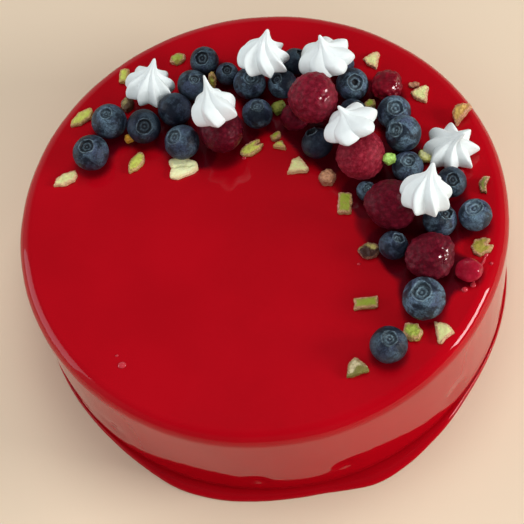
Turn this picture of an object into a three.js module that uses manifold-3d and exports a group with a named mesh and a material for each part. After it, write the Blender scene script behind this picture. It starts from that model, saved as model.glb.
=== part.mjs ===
// Mousse cake under a red mirror glaze, with a crescent of blueberries, raspberries, meringue kisses and
// chopped pistachios along its rim. Millimetres, +Z up, origin at the centre of the flat base.
import * as THREE from "three";
import { mergeVertices } from "three/addons/utils/BufferGeometryUtils.js";
import Module from "manifold-3d";

const wasm = await Module();
wasm.setup();

// Driving dimensions of the cake
const CAKE_RADIUS = 100;
const CAKE_HEIGHT = 55;
const SHOULDER = 6.3; // radius of the rounded rim between top and wall
const SHOULDER_STEPS = 3;
const CAKE_SECTORS = 72;

// The glaze that ran down the wall and set as a foot round the base
const FOOT_THICK = 2;
const FOOT_EDGE = 0.6; // height of the foot's outer edge
const FOOT_REACH = 0.8; // how far it stands out where it hasn't pooled
const CREASE = 0.5; // depth of the crease between foot and wall
const POOLS = [
  { at: -118, out: 4.6, spread: 12 },
  { at: -96, out: 1.8, spread: 9 },
  { at: -76, out: 5.8, spread: 8 },
  { at: -60, out: 2.2, spread: 7 },
  { at: 24, out: 1.5, spread: 11 },
  { at: 98, out: 2.6, spread: 9 },
  { at: 163, out: 1.9, spread: 12 },
];

// What lies on the cake is clear of its neighbours by this much, and a fused piece is sunk by SINK
const GAP = 0.3;
const SINK = 0.5;

// How far a piece on top of the heap may slide to settle deeper
const NESTLE = 1.2;

// Berries that lie side by side are pushed apart in this many rounds. A raspberry's furrows let its
// neighbour in a little, so it takes less room than its width.
const SPREAD_PASSES = 400;
const DRUPELET_ROOM = 0.96;

// A kiss is placed by the middle of its body, at this share of its height
const MIDDLE = 0.35;

// Blueberries lying on the glaze: place, diameter, and where the crown points (heading and tilt from upright)
const BLUEBERRIES = [
  { x: -63, y: 39.5, d: 15.2, heading: -133, tilt: 7 },
  { x: -53, y: 53, d: 15.2, heading: -110, tilt: 4 },
  { x: -38, y: 48, d: 14.6, heading: -80, tilt: 36 },
  { x: -26, y: 53, d: 14.6, heading: 90, tilt: 125 },
  { x: -25, y: 35, d: 15, heading: -177, tilt: 25 },
  { x: -17.5, y: 62, d: 13.4, heading: -44, tilt: 19 },
  { x: -11, y: 71.5, d: 12.6, heading: -111, tilt: 22 },
  { x: -0.5, y: 65, d: 10, heading: -67, tilt: 11 },
  { x: 8.5, y: 57, d: 14, heading: 4, tilt: 23 },
  { x: 7.5, y: 41.5, d: 13.2, heading: 21, tilt: 7 },
  { x: 19.5, y: 55.5, d: 12.6, heading: -171, tilt: 25 },
  { x: 26.5, y: 62, d: 11.8, heading: 7, tilt: 35 },
  { x: 50, y: 46, d: 14, heading: -69, tilt: 29 },
  { x: 47.5, y: 55, d: 10.6, heading: 60, tilt: 40 },
  { x: 62, y: 28, d: 14.6, heading: -73, tilt: 16 },
  { x: 62, y: 12.5, d: 15.2, heading: -169, tilt: 32, raised: true },
  { x: 28.5, y: 21, d: 13.4, heading: 118, tilt: 36 },
  { x: 61.5, y: 1.5, d: 12.8, heading: -58, tilt: 6 },
  { x: 46, y: -4, d: 8.4, heading: -37, tilt: 25 },
  { x: 76.5, y: -10, d: 12.6, heading: -85, tilt: 21 },
  { x: 80.5, y: -27, d: 13.2, heading: 133, tilt: 7 },
  { x: 68.5, y: -27, d: 14, heading: -5, tilt: 23 },
  { x: 50.5, y: -32, d: 12, heading: 7, tilt: 25 },
  { x: 54, y: -57.5, d: 17, heading: -70, tilt: 5 },
  { x: 36.5, y: -73.5, d: 14.6, heading: -28, tilt: 4 },
  { x: 46, y: 32.5, d: 12, heading: 0, tilt: 30 },
];

// Raspberries: width, length over width, and height over width where one is soft and slumped
const RASPBERRIES = [
  { x: 29.5, y: 33.5, d: 21.4, long: 1.02, flat: 1, heading: -91, tilt: 80, raised: true },
  { x: -8.5, y: 34, d: 19.4, long: 1, flat: 0.95, heading: -80, tilt: 60 },
  { x: 60.5, y: 42, d: 14.4, long: 1, flat: 0.8, heading: 40, tilt: 50 },
  { x: 44.5, y: 8.5, d: 21.4, long: 1, flat: 0.95, heading: 30, tilt: 35 },
  { x: 50, y: -16, d: 21.6, long: 1, flat: 0.92, heading: 165, tilt: 60 },
  { x: 60.5, y: -41, d: 20.6, long: 1, flat: 0.78, heading: 20, tilt: 50 },
  { x: 72.5, y: -47.5, d: 11.6, long: 1, flat: 0.62, heading: -30, tilt: 30 },
  { x: 22.5, y: 36, d: 12.6, long: 1, flat: 0.92, heading: -60, tilt: 70 },
];

// Meringue kisses: width over the lobes, height, lean of the tip, and how far the lobes are turned
const KISSES = [
  { x: -33, y: 65, d: 21.5, high: 18.5, heading: 56, tilt: 27, spin: 10 },
  { x: 15, y: 61, d: 22.4, high: 18.5, heading: 44, tilt: 28, spin: 0 },
  { x: -9.5, y: 36.5, d: 20, high: 18.5, heading: 98, tilt: 34, spin: 20 },
  { x: 40.5, y: 54, d: 22, high: 18, heading: 103, tilt: 3, spin: 5 },
  { x: 42, y: 15.5, d: 22, high: 13.5, heading: 125, tilt: 18, spin: 15 },
  { x: 81.5, y: 4.5, d: 22.4, high: 17.5, heading: -28, tilt: 30, spin: 12 },
  { x: 63.5, y: -20.5, d: 20.6, high: 20, heading: 50, tilt: 34, spin: 8 },
];

// Chopped pistachios on the glaze: place, kind of cut, length, width, thickness, heading and tilt
const PISTACHIOS = [
  { x: -76, y: 33.5, cut: "half", size: [9.5, 5.6, 3.2], heading: 22, tilt: 4 },
  { x: -66, y: 62, cut: "crescent", size: [10.5, 5, 3.2], heading: 33, tilt: 6 },
  { x: -44.5, y: 78.5, cut: "wedge", size: [6.6, 4.4, 3], heading: 60, tilt: 8 },
  { x: -45.5, y: 64.5, cut: "lump", size: [6, 4.6, 3.6], heading: 70, tilt: 0 },
  { x: -47, y: 45, cut: "lump", size: [3.6, 3.2, 2.6], heading: 0, tilt: 0 },
  { x: -46, y: 34, cut: "half", size: [9.4, 5.4, 3.2], heading: 58, tilt: 5 },
  { x: -26.5, y: 25.5, cut: "half", size: [12, 8.6, 3.4], heading: -11, tilt: 3 },
  { x: -20.5, y: 81.5, cut: "half", size: [7.6, 5, 3.4], heading: 45, tilt: 6 },
  { x: 2.5, y: 28.5, cut: "crescent", size: [9.8, 5.4, 3], heading: 22, tilt: 5 },
  { x: 13, y: 32, cut: "lump", size: [5, 3.4, 2.8], heading: 30, tilt: 0 },
  { x: 14, y: 27.5, cut: "wedge", size: [5.4, 3.6, 2.6], heading: -20, tilt: 5 },
  { x: 19, y: 15.5, cut: "wedge", size: [9.4, 7.6, 3.2], heading: 24, tilt: 6 },
  { x: 29.5, y: 6.5, cut: "lump", size: [8, 7.4, 4.2], heading: 40, tilt: 0 },
  { x: 34, y: -6.5, cut: "block", size: [9.4, 6.6, 3.6], heading: 78, tilt: 4 },
  { x: 59.5, y: 58.5, cut: "wedge", size: [8, 5.6, 3], heading: 28, tilt: 5 },
  { x: 75.5, y: 37, cut: "wedge", size: [8, 5.8, 3.2], heading: -35, tilt: 6 },
  { x: 74, y: 42.5, cut: "lump", size: [5, 2.6, 2.4], heading: -8, tilt: 0 },
  { x: 89, y: 23.5, cut: "wedge", size: [10.5, 5.6, 4.6], heading: 38, tilt: 24 },
  { x: 89.5, y: -11.5, cut: "crescent", size: [7.4, 4, 3], heading: 68, tilt: 10 },
  { x: 82.5, y: -39, cut: "crescent", size: [8.6, 6.4, 3], heading: -10, tilt: 4 },
  { x: 39.5, y: -30, cut: "half", size: [8.8, 6.6, 4], heading: -12, tilt: 6 },
  { x: 32.5, y: -52, cut: "block", size: [9.8, 5.4, 3.2], heading: -6, tilt: 3 },
  { x: 47, y: -68, cut: "half", size: [9, 7.4, 4], heading: -40, tilt: 8 },
  { x: 59, y: -71, cut: "wedge", size: [9.4, 7.2, 3], heading: -70, tilt: 5 },
  { x: 23.5, y: -77.5, cut: "wedge", size: [8.6, 6.4, 3], heading: 12, tilt: 5 },
];

// Pistachio pieces that came to rest up among the fruit
const CAUGHT_PISTACHIOS = [
  { x: -7.5, y: 65, cut: "half", size: [8, 3.6, 2.4], heading: 80, tilt: 72 },
  { x: 16.5, y: 45, cut: "half", size: [6.8, 5.8, 4], heading: 10, tilt: 10 },
  { x: 54, y: 37, cut: "lump", size: [5.4, 4.2, 3.2], heading: 20, tilt: 0 },
  { x: 55, y: 4, cut: "half", size: [5.4, 4.8, 3.4], heading: 0, tilt: 10 },
  { x: 71.5, y: 7, cut: "half", size: [8, 6.2, 3.6], heading: 12, tilt: 15 },
];

// Looks
const LOOKS = {
  glaze: { color: 0xa80e1c, roughness: 0.06, metalness: 0 },
  blueberry: { color: 0x34405a, roughness: 0.55, metalness: 0 },
  raspberry: { color: 0x7c1428, roughness: 0.4, metalness: 0 },
  meringue: { color: 0xf1f3f2, roughness: 0.7, metalness: 0 },
  pistachio: { color: 0xa9b94c, roughness: 0.6, metalness: 0 },
};

const degrees = THREE.MathUtils.degToRad;

// One closed triangle mesh from a three.js geometry, its seams and poles joined
function welded(geometry) {
  geometry.deleteAttribute("normal");
  geometry.deleteAttribute("uv");
  const joined = mergeVertices(geometry, 1e-4);
  const kept = [];
  for (let i = 0; i < joined.index.count; i += 3) {
    const [a, b, c] = [0, 1, 2].map((k) => joined.index.getX(i + k));
    if (a !== b && b !== c && c !== a) kept.push(a, b, c);
  }
  joined.setIndex(kept);
  return joined;
}

// Moves each vertex by a function of its own place
function sculpted(geometry, move) {
  const places = geometry.getAttribute("position");
  const v = new THREE.Vector3();
  for (let i = 0; i < places.count; i++) {
    v.fromBufferAttribute(places, i);
    move(v);
    places.setXYZ(i, v.x, v.y, v.z);
  }
  return geometry;
}

// A profile of [radius, height] pairs, from the bottom up, turned round the Z axis
function turned(profile, sectors) {
  const points = profile.map(([radius, height]) => new THREE.Vector2(radius, height));
  return welded(new THREE.LatheGeometry(points, sectors).rotateX(Math.PI / 2));
}

function solidOf(geometry) {
  return new wasm.Manifold(
    new wasm.Mesh({
      numProp: 3,
      vertProperties: new Float32Array(geometry.getAttribute("position").array),
      triVerts: new Uint32Array(geometry.index.array),
    }),
  );
}

function geometryOf(solid) {
  const mesh = solid.getMesh();
  return new THREE.BufferGeometry()
    .setAttribute("position", new THREE.BufferAttribute(new Float32Array(mesh.vertProperties), 3))
    .setIndex(new THREE.BufferAttribute(new Uint32Array(mesh.triVerts), 1));
}

// How far the glaze foot reaches out from the wall at an angle
function footReach(angle) {
  const pooled = POOLS.map(({ at, out, spread }) => {
    const away = THREE.MathUtils.euclideanModulo(angle - degrees(at) + Math.PI, 2 * Math.PI) - Math.PI;
    return out * Math.exp(-0.5 * (away / degrees(spread)) ** 2);
  });
  return FOOT_REACH + pooled.reduce((sum, part) => sum + part, 0);
}

// The glazed body: flat base, irregular foot, upright wall, rounded rim and level top
function cakeBody() {
  const rim = [];
  for (let i = 0; i <= SHOULDER_STEPS; i++) {
    const a = (Math.PI / 2) * (i / SHOULDER_STEPS);
    rim.push([CAKE_RADIUS - SHOULDER * (1 - Math.cos(a)), CAKE_HEIGHT - SHOULDER * (1 - Math.sin(a))]);
  }
  const profile = [
    [0, 0],
    [CAKE_RADIUS + 1, 0],
    [CAKE_RADIUS + 1, FOOT_EDGE],
    [CAKE_RADIUS + 0.6, FOOT_THICK],
    [CAKE_RADIUS - CREASE, FOOT_THICK],
    [CAKE_RADIUS, FOOT_THICK + 2 * CREASE],
    ...rim,
    [0, CAKE_HEIGHT],
  ];
  return sculpted(turned(profile, CAKE_SECTORS), (v) => {
    const radius = Math.hypot(v.x, v.y);
    if (radius <= CAKE_RADIUS + 0.1) return;
    const reach = CAKE_RADIUS + (radius - CAKE_RADIUS) * footReach(Math.atan2(v.y, v.x));
    v.x *= reach / radius;
    v.y *= reach / radius;
  });
}

// A blueberry: nearly round, with a raised five-lobed crown round a shallow dish at its +Z end
function blueberry(diameter) {
  const lobes = 5;
  const profile = [
    [0, -0.94],
    [0.52, -0.8],
    [0.9, -0.4],
    [0.99, 0.06],
    [0.84, 0.5],
    [0.5, 0.83],
    [0.38, 0.91],
    [0.22, 0.76],
    [0, 0.72],
  ];
  const berry = turned(profile, 2 * lobes);
  sculpted(berry, (v) => {
    const crown = v.z > 0.9 ? 0.03 * Math.cos(lobes * Math.atan2(v.y, v.x)) : 0;
    v.z += crown;
    v.x *= 1 - 0.02 * Math.abs(v.z);
  });
  return berry.scale(diameter / 2, diameter / 2, diameter / 2);
}

// A raspberry: a blunt cone of evenly spread drupelets, its narrow end at +Z. Every second vertex of the
// ball stands at the middle of a drupelet, and those between lie in the furrows.
function raspberry(diameter, long) {
  const taper = 0.14;
  const furrow = 0.92;
  const middles = new THREE.IcosahedronGeometry(1, 1).getAttribute("position");
  const isMiddle = (v) => {
    for (let i = 0; i < middles.count; i++) {
      if (v.distanceToSquared(new THREE.Vector3().fromBufferAttribute(middles, i)) < 1e-4) return true;
    }
    return false;
  };
  const berry = sculpted(welded(new THREE.IcosahedronGeometry(1, 3)), (v) => {
    if (!isMiddle(v)) v.multiplyScalar(furrow);
    v.x *= 1 - taper * (v.z + 0.4);
    v.y *= 1 - taper * (v.z + 0.4);
  });
  return berry.scale(diameter / 2, diameter / 2, (diameter / 2) * long);
}

// A meringue kiss piped through a star nozzle: eight flutes that twist and draw up to a small tip. Its
// origin is in the middle of the body, MIDDLE of its height above the base.
function meringueKiss(width, high) {
  const lobes = 8;
  const twist = degrees(-26);
  const profile = [
    [0, 0],
    [0.84, 0.02],
    [1, 0.15],
    [0.98, 0.34],
    [0.83, 0.5],
    [0.56, 0.65],
    [0.27, 0.78],
    [0.11, 0.9],
    [0, 1],
  ];
  const kiss = sculpted(turned(profile, 4 * lobes), (v) => {
    const angle = Math.atan2(v.y, v.x);
    const radius = Math.hypot(v.x, v.y);
    const valley = (1 - Math.cos(lobes * angle)) / 2;
    const flute = 1 - (0.2 + 0.12 * v.z) * valley;
    const turn = angle + twist * v.z;
    v.x = radius * flute * Math.cos(turn);
    v.y = radius * flute * Math.sin(turn);
  });
  return kiss.scale(width / 2, width / 2, high).translate(0, 0, -MIDDLE * high);
}

// Outlines of the cut pistachio pieces, one unit long and wide
const CUTS = {
  half: [[-0.5, 0.05], [-0.3, -0.42], [0.15, -0.5], [0.5, -0.12], [0.4, 0.34], [-0.1, 0.5]],
  wedge: [[-0.5, -0.36], [0.42, -0.5], [0.5, -0.3], [0.12, 0.5], [-0.2, 0.3]],
  block: [[-0.5, -0.4], [0.46, -0.5], [0.5, 0.42], [-0.44, 0.5]],
  crescent: [[-0.5, -0.42], [0, -0.2], [0.5, -0.5], [0.46, 0.2], [0.05, 0.5], [-0.4, 0.25]],
  lump: [[-0.5, -0.1], [-0.2, -0.5], [0.35, -0.4], [0.5, 0.1], [0.1, 0.5], [-0.35, 0.4]],
};

// A chopped pistachio piece: a cut outline with softened edges, lying on its flat side
function pistachio(cut, [length, width, thick]) {
  const outline = new THREE.Shape(CUTS[cut].map(([u, v]) => new THREE.Vector2(u * length, v * width)));
  const soft = thick / 5;
  const piece = new THREE.ExtrudeGeometry(outline, {
    depth: thick - 2 * soft,
    bevelThickness: soft,
    bevelSize: soft,
    bevelOffset: -soft,
    bevelSegments: 1,
    steps: 1,
  });
  return welded(piece.translate(0, 0, soft));
}

// Local +Z leans by tilt towards heading, after a turn by spin about itself
function lean({ heading = 0, tilt = 0, spin = 0 }) {
  return new THREE.Matrix4()
    .makeRotationZ(degrees(heading))
    .multiply(new THREE.Matrix4().makeRotationY(degrees(tilt)))
    .multiply(new THREE.Matrix4().makeRotationZ(degrees(spin)));
}

// A flat chip keeps its heading and is tipped up along its length
function tipped({ heading, tilt }) {
  return new THREE.Matrix4()
    .makeRotationZ(degrees(heading))
    .multiply(new THREE.Matrix4().makeRotationY(degrees(-tilt)));
}

// What already lies in place, for testing where the next piece can go
class Pile {
  constructor() {
    this.solids = [];
    this.top = 0;
  }

  add(solid) {
    const box = solid.boundingBox();
    this.solids.push({ solid, box });
    this.top = Math.max(this.top, box.max[2]);
  }

  touches(solid) {
    const { min, max } = solid.boundingBox();
    return this.solids.some(
      (other) =>
        [0, 1, 2].every((k) => min[k] < other.box.max[k] && max[k] > other.box.min[k]) &&
        other.solid.intersect(solid).volume() > 0,
    );
  }

  // Whether a solid comes nearer than GAP, sideways, to anything in the pile
  crowds(solid) {
    return [0, 1, 2, 3, 4, 5].some((k) => {
      const a = (k * Math.PI) / 3;
      return this.touches(solid.translate([GAP * Math.cos(a), GAP * Math.sin(a), 0]));
    });
  }

  // Slides a solid away from whatever crowds it, along the line from that neighbour's middle
  slideClear(solid) {
    const step = 0.2;
    const middle = ({ min, max }) => new THREE.Vector2((min[0] + max[0]) / 2, (min[1] + max[1]) / 2);
    while (this.crowds(solid)) {
      const here = middle(solid.boundingBox());
      const places = this.solids.map(({ box }) => middle(box));
      const nearest = places.reduce((a, b) => (here.distanceTo(a) < here.distanceTo(b) ? a : b));
      const away = here.sub(nearest).setLength(step);
      solid = solid.translate([away.x, away.y, 0]);
    }
    return solid;
  }

  // The lowest height at which a solid lowered over (x, y) still clears everything
  heightOver(solid, x, y) {
    const step = 2;
    let clear = this.top - solid.boundingBox().min[2] + step;
    while (!this.touches(solid.translate([x, y, clear - step]))) clear -= step;
    let blocked = clear - step;
    while (clear - blocked > GAP / 4) {
      const middle = (clear + blocked) / 2;
      if (this.touches(solid.translate([x, y, middle]))) blocked = middle;
      else clear = middle;
    }
    return clear;
  }

  // Lets a solid slide sideways, no further than reach, to where it sinks lowest
  nestle(solid, x, y, reach) {
    let best = { x, y, z: this.heightOver(solid, x, y) };
    for (let step = reach / 2; step > reach / 5; step /= 2) {
      for (let k = 0; k < 6; k++) {
        const a = (k * Math.PI) / 3;
        const next = { x: best.x + step * Math.cos(a), y: best.y + step * Math.sin(a) };
        if (Math.hypot(next.x - x, next.y - y) > reach) continue;
        next.z = this.heightOver(solid, next.x, next.y);
        if (next.z < best.z) best = next;
      }
    }
    return best;
  }
}

// Pushes berries that lie side by side on the glaze apart until each pair is clear, the smaller one further
function spreadOut(berries) {
  for (let pass = 0; pass < SPREAD_PASSES; pass++) {
    for (const a of berries) {
      for (const b of berries) {
        const apart = Math.hypot(b.x - a.x, b.y - a.y);
        const need = Math.sqrt((a.girth + GAP) * (b.girth + GAP));
        if (a === b || apart >= need) continue;
        const push = (0.5 * (need - apart)) / apart;
        const [px, py] = [(b.x - a.x) * push, (b.y - a.y) * push];
        const yielding = b.girth ** 3 / (a.girth ** 3 + b.girth ** 3);
        a.x -= px * yielding;
        a.y -= py * yielding;
        b.x += px * (1 - yielding);
        b.y += py * (1 - yielding);
      }
    }
  }
}

const cake = new THREE.Group();
const numbered = (name, index, digits) => name + "_" + String(index + 1).padStart(digits, "0");

function addMesh(name, geometry, look, turn, place) {
  const mesh = new THREE.Mesh(geometry, new THREE.MeshStandardMaterial(LOOKS[look]));
  mesh.name = name;
  mesh.quaternion.setFromRotationMatrix(turn);
  mesh.position.copy(place);
  cake.add(mesh);
}

// Sets a piece down at a height found for it over its place
function setDown(pile, piece, findRest) {
  const solid = solidOf(piece.geometry.clone().applyMatrix4(piece.turn));
  const rest = findRest(solid);
  const place = new THREE.Vector3(rest.x, rest.y, rest.z + GAP);
  pile.add(solid.translate(place.toArray()));
  addMesh(piece.name, piece.geometry, piece.look, piece.turn, place);
}

const berries = [
  ...BLUEBERRIES.map((row, i) => ({
    ...row,
    name: numbered("blueberry", i, 2),
    look: "blueberry",
    girth: row.d,
    geometry: blueberry(row.d),
    turn: lean(row),
  })),
  ...RASPBERRIES.map((row, i) => ({
    ...row,
    name: numbered("raspberry", i, 1),
    look: "raspberry",
    girth: row.d * DRUPELET_ROOM,
    geometry: raspberry(row.d, row.long).applyMatrix4(lean(row)).scale(1, 1, row.flat),
    turn: new THREE.Matrix4(),
  })),
];
const kisses = KISSES.map((row, i) => ({
  ...row,
  name: numbered("meringue", i, 1),
  look: "meringue",
  geometry: meringueKiss(row.d, row.high),
  turn: lean(row),
}));
const caught = CAUGHT_PISTACHIOS.map((row, i) => ({
  ...row,
  name: numbered("pistachio", i, 1),
  look: "pistachio",
  geometry: pistachio(row.cut, row.size),
  turn: tipped(row),
}));

// The berries on the level top, side by side
const pile = new Pile();
const lying = berries.filter((berry) => !berry.raised);
spreadOut(lying);
for (const berry of lying) {
  setDown(pile, berry, (solid) => ({ x: berry.x, y: berry.y, z: CAKE_HEIGHT - solid.boundingBox().min[2] }));
}

// The pistachios on the glaze, sunk into it and fused to it, each slid clear of the berries
const body = solidOf(cakeBody());
const chips = PISTACHIOS.map((row) => {
  const solid = solidOf(pistachio(row.cut, row.size).applyMatrix4(tipped(row)));
  const sunk = CAKE_HEIGHT - SINK - solid.boundingBox().min[2];
  return pile.slideClear(solid.translate([row.x, row.y, sunk]));
});
const glazed = chips.reduce((cake, chip) => cake.add(chip), body);
addMesh("glazed_cake", geometryOf(glazed), "glaze", new THREE.Matrix4(), new THREE.Vector3());
pile.add(glazed);

// Then what lies on the berries, from the bottom of the heap to its top
for (const piece of [...berries.filter((berry) => berry.raised), ...caught, ...kisses]) {
  setDown(pile, piece, (solid) => pile.nestle(solid, piece.x, piece.y, NESTLE));
}

export default cake;
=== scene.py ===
"""Round mousse cake under a red mirror glaze, with berries, meringue kisses and chopped pistachios on its rim.

The cake and the pistachios are worked out in millimetres, a berry and a kiss with a radius of 1. All of
them are laid down in metres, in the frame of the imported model.
"""
import logging
import math
import random
from collections.abc import Sequence
from dataclasses import dataclass
from enum import Enum

import bmesh
import bpy
from mathutils import Matrix, Quaternion, Vector, noise
from mathutils.geometry import intersect_point_line
from mathutils.kdtree import KDTree


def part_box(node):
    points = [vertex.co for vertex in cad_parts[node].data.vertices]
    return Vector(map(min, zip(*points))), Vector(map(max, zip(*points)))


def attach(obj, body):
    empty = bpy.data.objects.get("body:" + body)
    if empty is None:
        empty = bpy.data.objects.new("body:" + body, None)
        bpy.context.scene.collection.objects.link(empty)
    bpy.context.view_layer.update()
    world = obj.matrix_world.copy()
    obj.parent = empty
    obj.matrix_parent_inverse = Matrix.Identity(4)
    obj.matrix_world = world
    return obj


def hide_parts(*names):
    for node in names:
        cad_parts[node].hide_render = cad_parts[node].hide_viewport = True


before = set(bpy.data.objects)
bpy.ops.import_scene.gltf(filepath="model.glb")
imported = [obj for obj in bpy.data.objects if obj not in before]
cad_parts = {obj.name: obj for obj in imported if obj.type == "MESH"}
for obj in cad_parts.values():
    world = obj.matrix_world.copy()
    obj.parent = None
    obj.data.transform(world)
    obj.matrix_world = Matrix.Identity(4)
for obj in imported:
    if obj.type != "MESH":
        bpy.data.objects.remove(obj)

log = logging.getLogger("cake")

MM = 0.001
CAKE_HEIGHT = 55.0  # mm from the base to the level top
SETTLE = 0.3  # mm by which a topping sinks onto what carries it
MERGE, SLIVER = 1e-5, 1e-6  # lengths below which a spun shape's points become one and its edges go
SEED_SHIFT = (7.31, 3.17, 5.43)  # how far a seed of 1 moves the noise
Mesh = bmesh.types.BMesh
Material = bpy.types.Material
Socket = bpy.types.NodeSocket
Inputs = dict[str | int, object]
Colour = tuple[float, float, float]
Span = tuple[float, float]
Profile = Sequence[tuple[float, float]]


# ---------------------------------------------------------------- small tools


def fade(value: float, start: float, end: float) -> float:
    """Rises smoothly from 0 at start to 1 at end."""
    t = min(1.0, max(0.0, (value - start) / (end - start)))
    return t * t * (3 - 2 * t)


def hump(value: float, centre: float, width: float) -> float:
    """A bell of height 1 round centre."""
    return math.exp(-(((value - centre) / width) ** 2))


def wander(place: Vector, scale: float, seed: float) -> float:
    """Smooth noise between about -1 and 1, with scale bumps for each unit of length, and its own for each seed."""
    x, y, z = SEED_SHIFT
    return noise.noise(place * scale + Vector((seed * x, seed * y, seed * z)))


def toward(angle: float) -> Vector:
    """Returns the level direction at an angle in radians."""
    return Vector((math.cos(angle), math.sin(angle), 0))


def smooth_line(points: Profile, per_span: int) -> Profile:
    """Rounds a line of points into a smooth curve through them.

    Args:
        points: The line's (radius, height) pairs.
        per_span: How many steps each span gets.

    Returns:
        The finer line.
    """
    line = []
    for i in range(len(points) - 1):
        before, start = points[max(i - 1, 0)], points[i]
        end, after = points[i + 1], points[min(i + 2, len(points) - 1)]
        for k in range(per_span):
            t = k / per_span
            weights = (
                -0.5 * t + t * t - 0.5 * t**3,
                1 - 2.5 * t * t + 1.5 * t**3,
                0.5 * t + 2 * t * t - 1.5 * t**3,
                -0.5 * t * t + 0.5 * t**3,
            )
            around = tuple(zip(weights, (before, start, end, after)))
            radius, height = (sum(w * p[axis] for w, p in around) for axis in (0, 1))
            line.append((max(radius, 0.0), height))
    return [*line, points[-1]]


def spun(profile: Profile, steps: int) -> Mesh:
    """Spins a profile round the Z axis into a closed shape.

    Args:
        profile: (radius, height) pairs from the bottom of the axis to its top.
        steps: Steps in the full turn.

    Returns:
        The shape.
    """
    bm = bmesh.new()
    line = [bm.verts.new((radius, 0, height)) for radius, height in profile]
    edges = [bm.edges.new(pair) for pair in zip(line, line[1:])]
    bmesh.ops.spin(
        bm,
        geom=line + edges,
        cent=(0, 0, 0),
        axis=(0, 0, 1),
        dvec=(0, 0, 0),
        angle=math.tau,
        steps=steps,
        use_merge=True,
        use_normal_flip=False,
        use_duplicate=False,
    )
    bmesh.ops.remove_doubles(bm, verts=bm.verts, dist=MERGE)
    bmesh.ops.dissolve_degenerate(bm, dist=SLIVER, edges=bm.edges)
    bmesh.ops.recalc_face_normals(bm, faces=bm.faces)
    return bm


def marks(bm: Mesh, *names: str) -> list[bmesh.types.BMLayerItem]:
    """Adds numbers of those names to a mesh's vertices, for its finish to read."""
    return [bm.verts.layers.float.new(name) for name in names]


def to_metres(bm: Mesh) -> None:
    """Takes a mesh from millimetres to metres."""
    bmesh.ops.scale(bm, vec=(MM,) * 3, verts=bm.verts)


def extent(bm: Mesh) -> tuple[Vector, Vector]:
    """Measures a mesh.

    Args:
        bm: The mesh.

    Returns:
        Its lowest and its highest corner.
    """
    low = Vector(min(v.co[k] for v in bm.verts) for k in range(3))
    high = Vector(max(v.co[k] for v in bm.verts) for k in range(3))
    return low, high


def seat_on_node(bm: Mesh, node: str) -> None:
    """Brings a shape to a node's size and place, settled onto what carries it.

    Args:
        bm: The shape, already turned as it lies.
        node: The node that it stands for.
    """
    node_low, node_high = (Vector(corner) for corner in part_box(node))
    low, high = extent(bm)
    scale = sum((node_high[k] - node_low[k]) / (high[k] - low[k]) for k in range(3)) / 3
    bmesh.ops.scale(bm, vec=(scale,) * 3, verts=bm.verts)
    low, high = extent(bm)
    shift = (node_low + node_high - low - high) / 2
    shift.z = node_low.z - SETTLE * MM - low.z
    bmesh.ops.translate(bm, vec=shift, verts=bm.verts)


def finished(bm: Mesh, name: str, material: Material, slot: str, *nodes: str) -> None:
    """Makes the object of a finished mesh and ties it to the frame.

    Args:
        bm: The mesh, in metres and in place. It is freed.
        name: The piece's name.
        material: Its finish.
        slot: Not used.
        *nodes: The nodes that it stands for.
    """
    mesh = bpy.data.meshes.new(name)
    for face in bm.faces:
        face.smooth = True
    bm.to_mesh(mesh)
    bm.free()
    mesh.materials.append(material)
    piece = bpy.data.objects.new(name, mesh)
    bpy.context.scene.collection.objects.link(piece)
    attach(piece, "root")
    if nodes:
        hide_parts(*nodes)
    log.info("%s: %d faces", name, len(mesh.polygons))


def stand_in(bm: Mesh, node: str, ending: str, material: Material, slot: str) -> None:
    """Seats a shape on its node and finishes it as the piece that replaces that node, named with the ending."""
    seat_on_node(bm, node)
    finished(bm, f"{node}_{ending}", material, slot, node)


@dataclass(frozen=True)
class Lean:
    """How a topping lies, in degrees: the heading it leans to, its tilt from upright, its turn about itself."""

    heading: float = 0.0
    tilt: float = 0.0
    spin: float = 0.0

    def matrix(self) -> Matrix:
        """Works out how a topping is turned from upright to how it lies.

        Returns:
            The turn.
        """
        made = Matrix.Identity(4)
        for angle, axis in ((self.heading, "Z"), (self.tilt, "Y"), (self.spin, "Z")):
            made = made @ Matrix.Rotation(math.radians(angle), 4, axis)
        return made

    def lay(self, bm: Mesh) -> None:
        """Turns an upright shape so that it lies this way."""
        bmesh.ops.transform(bm, matrix=self.matrix(), verts=bm.verts)


# ---------------------------------------------------------------- node trees


@dataclass(frozen=True)
class Grain:
    """Noise for a finish.

    per_mm is its bumps for each millimetre, detail how many finer layers it has and rough how strong they
    are, and warp how far it is drawn into streaks. A pattern spreads the span of its heights out onto a
    range, and a relief is depth mm deep.
    """

    per_mm: float
    detail: float = 2.0
    rough: float = 0.5
    warp: float = 0.0
    span: Span = (0.0, 1.0)
    onto: Span = (0.0, 1.0)
    depth: float = 0.0


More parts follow.
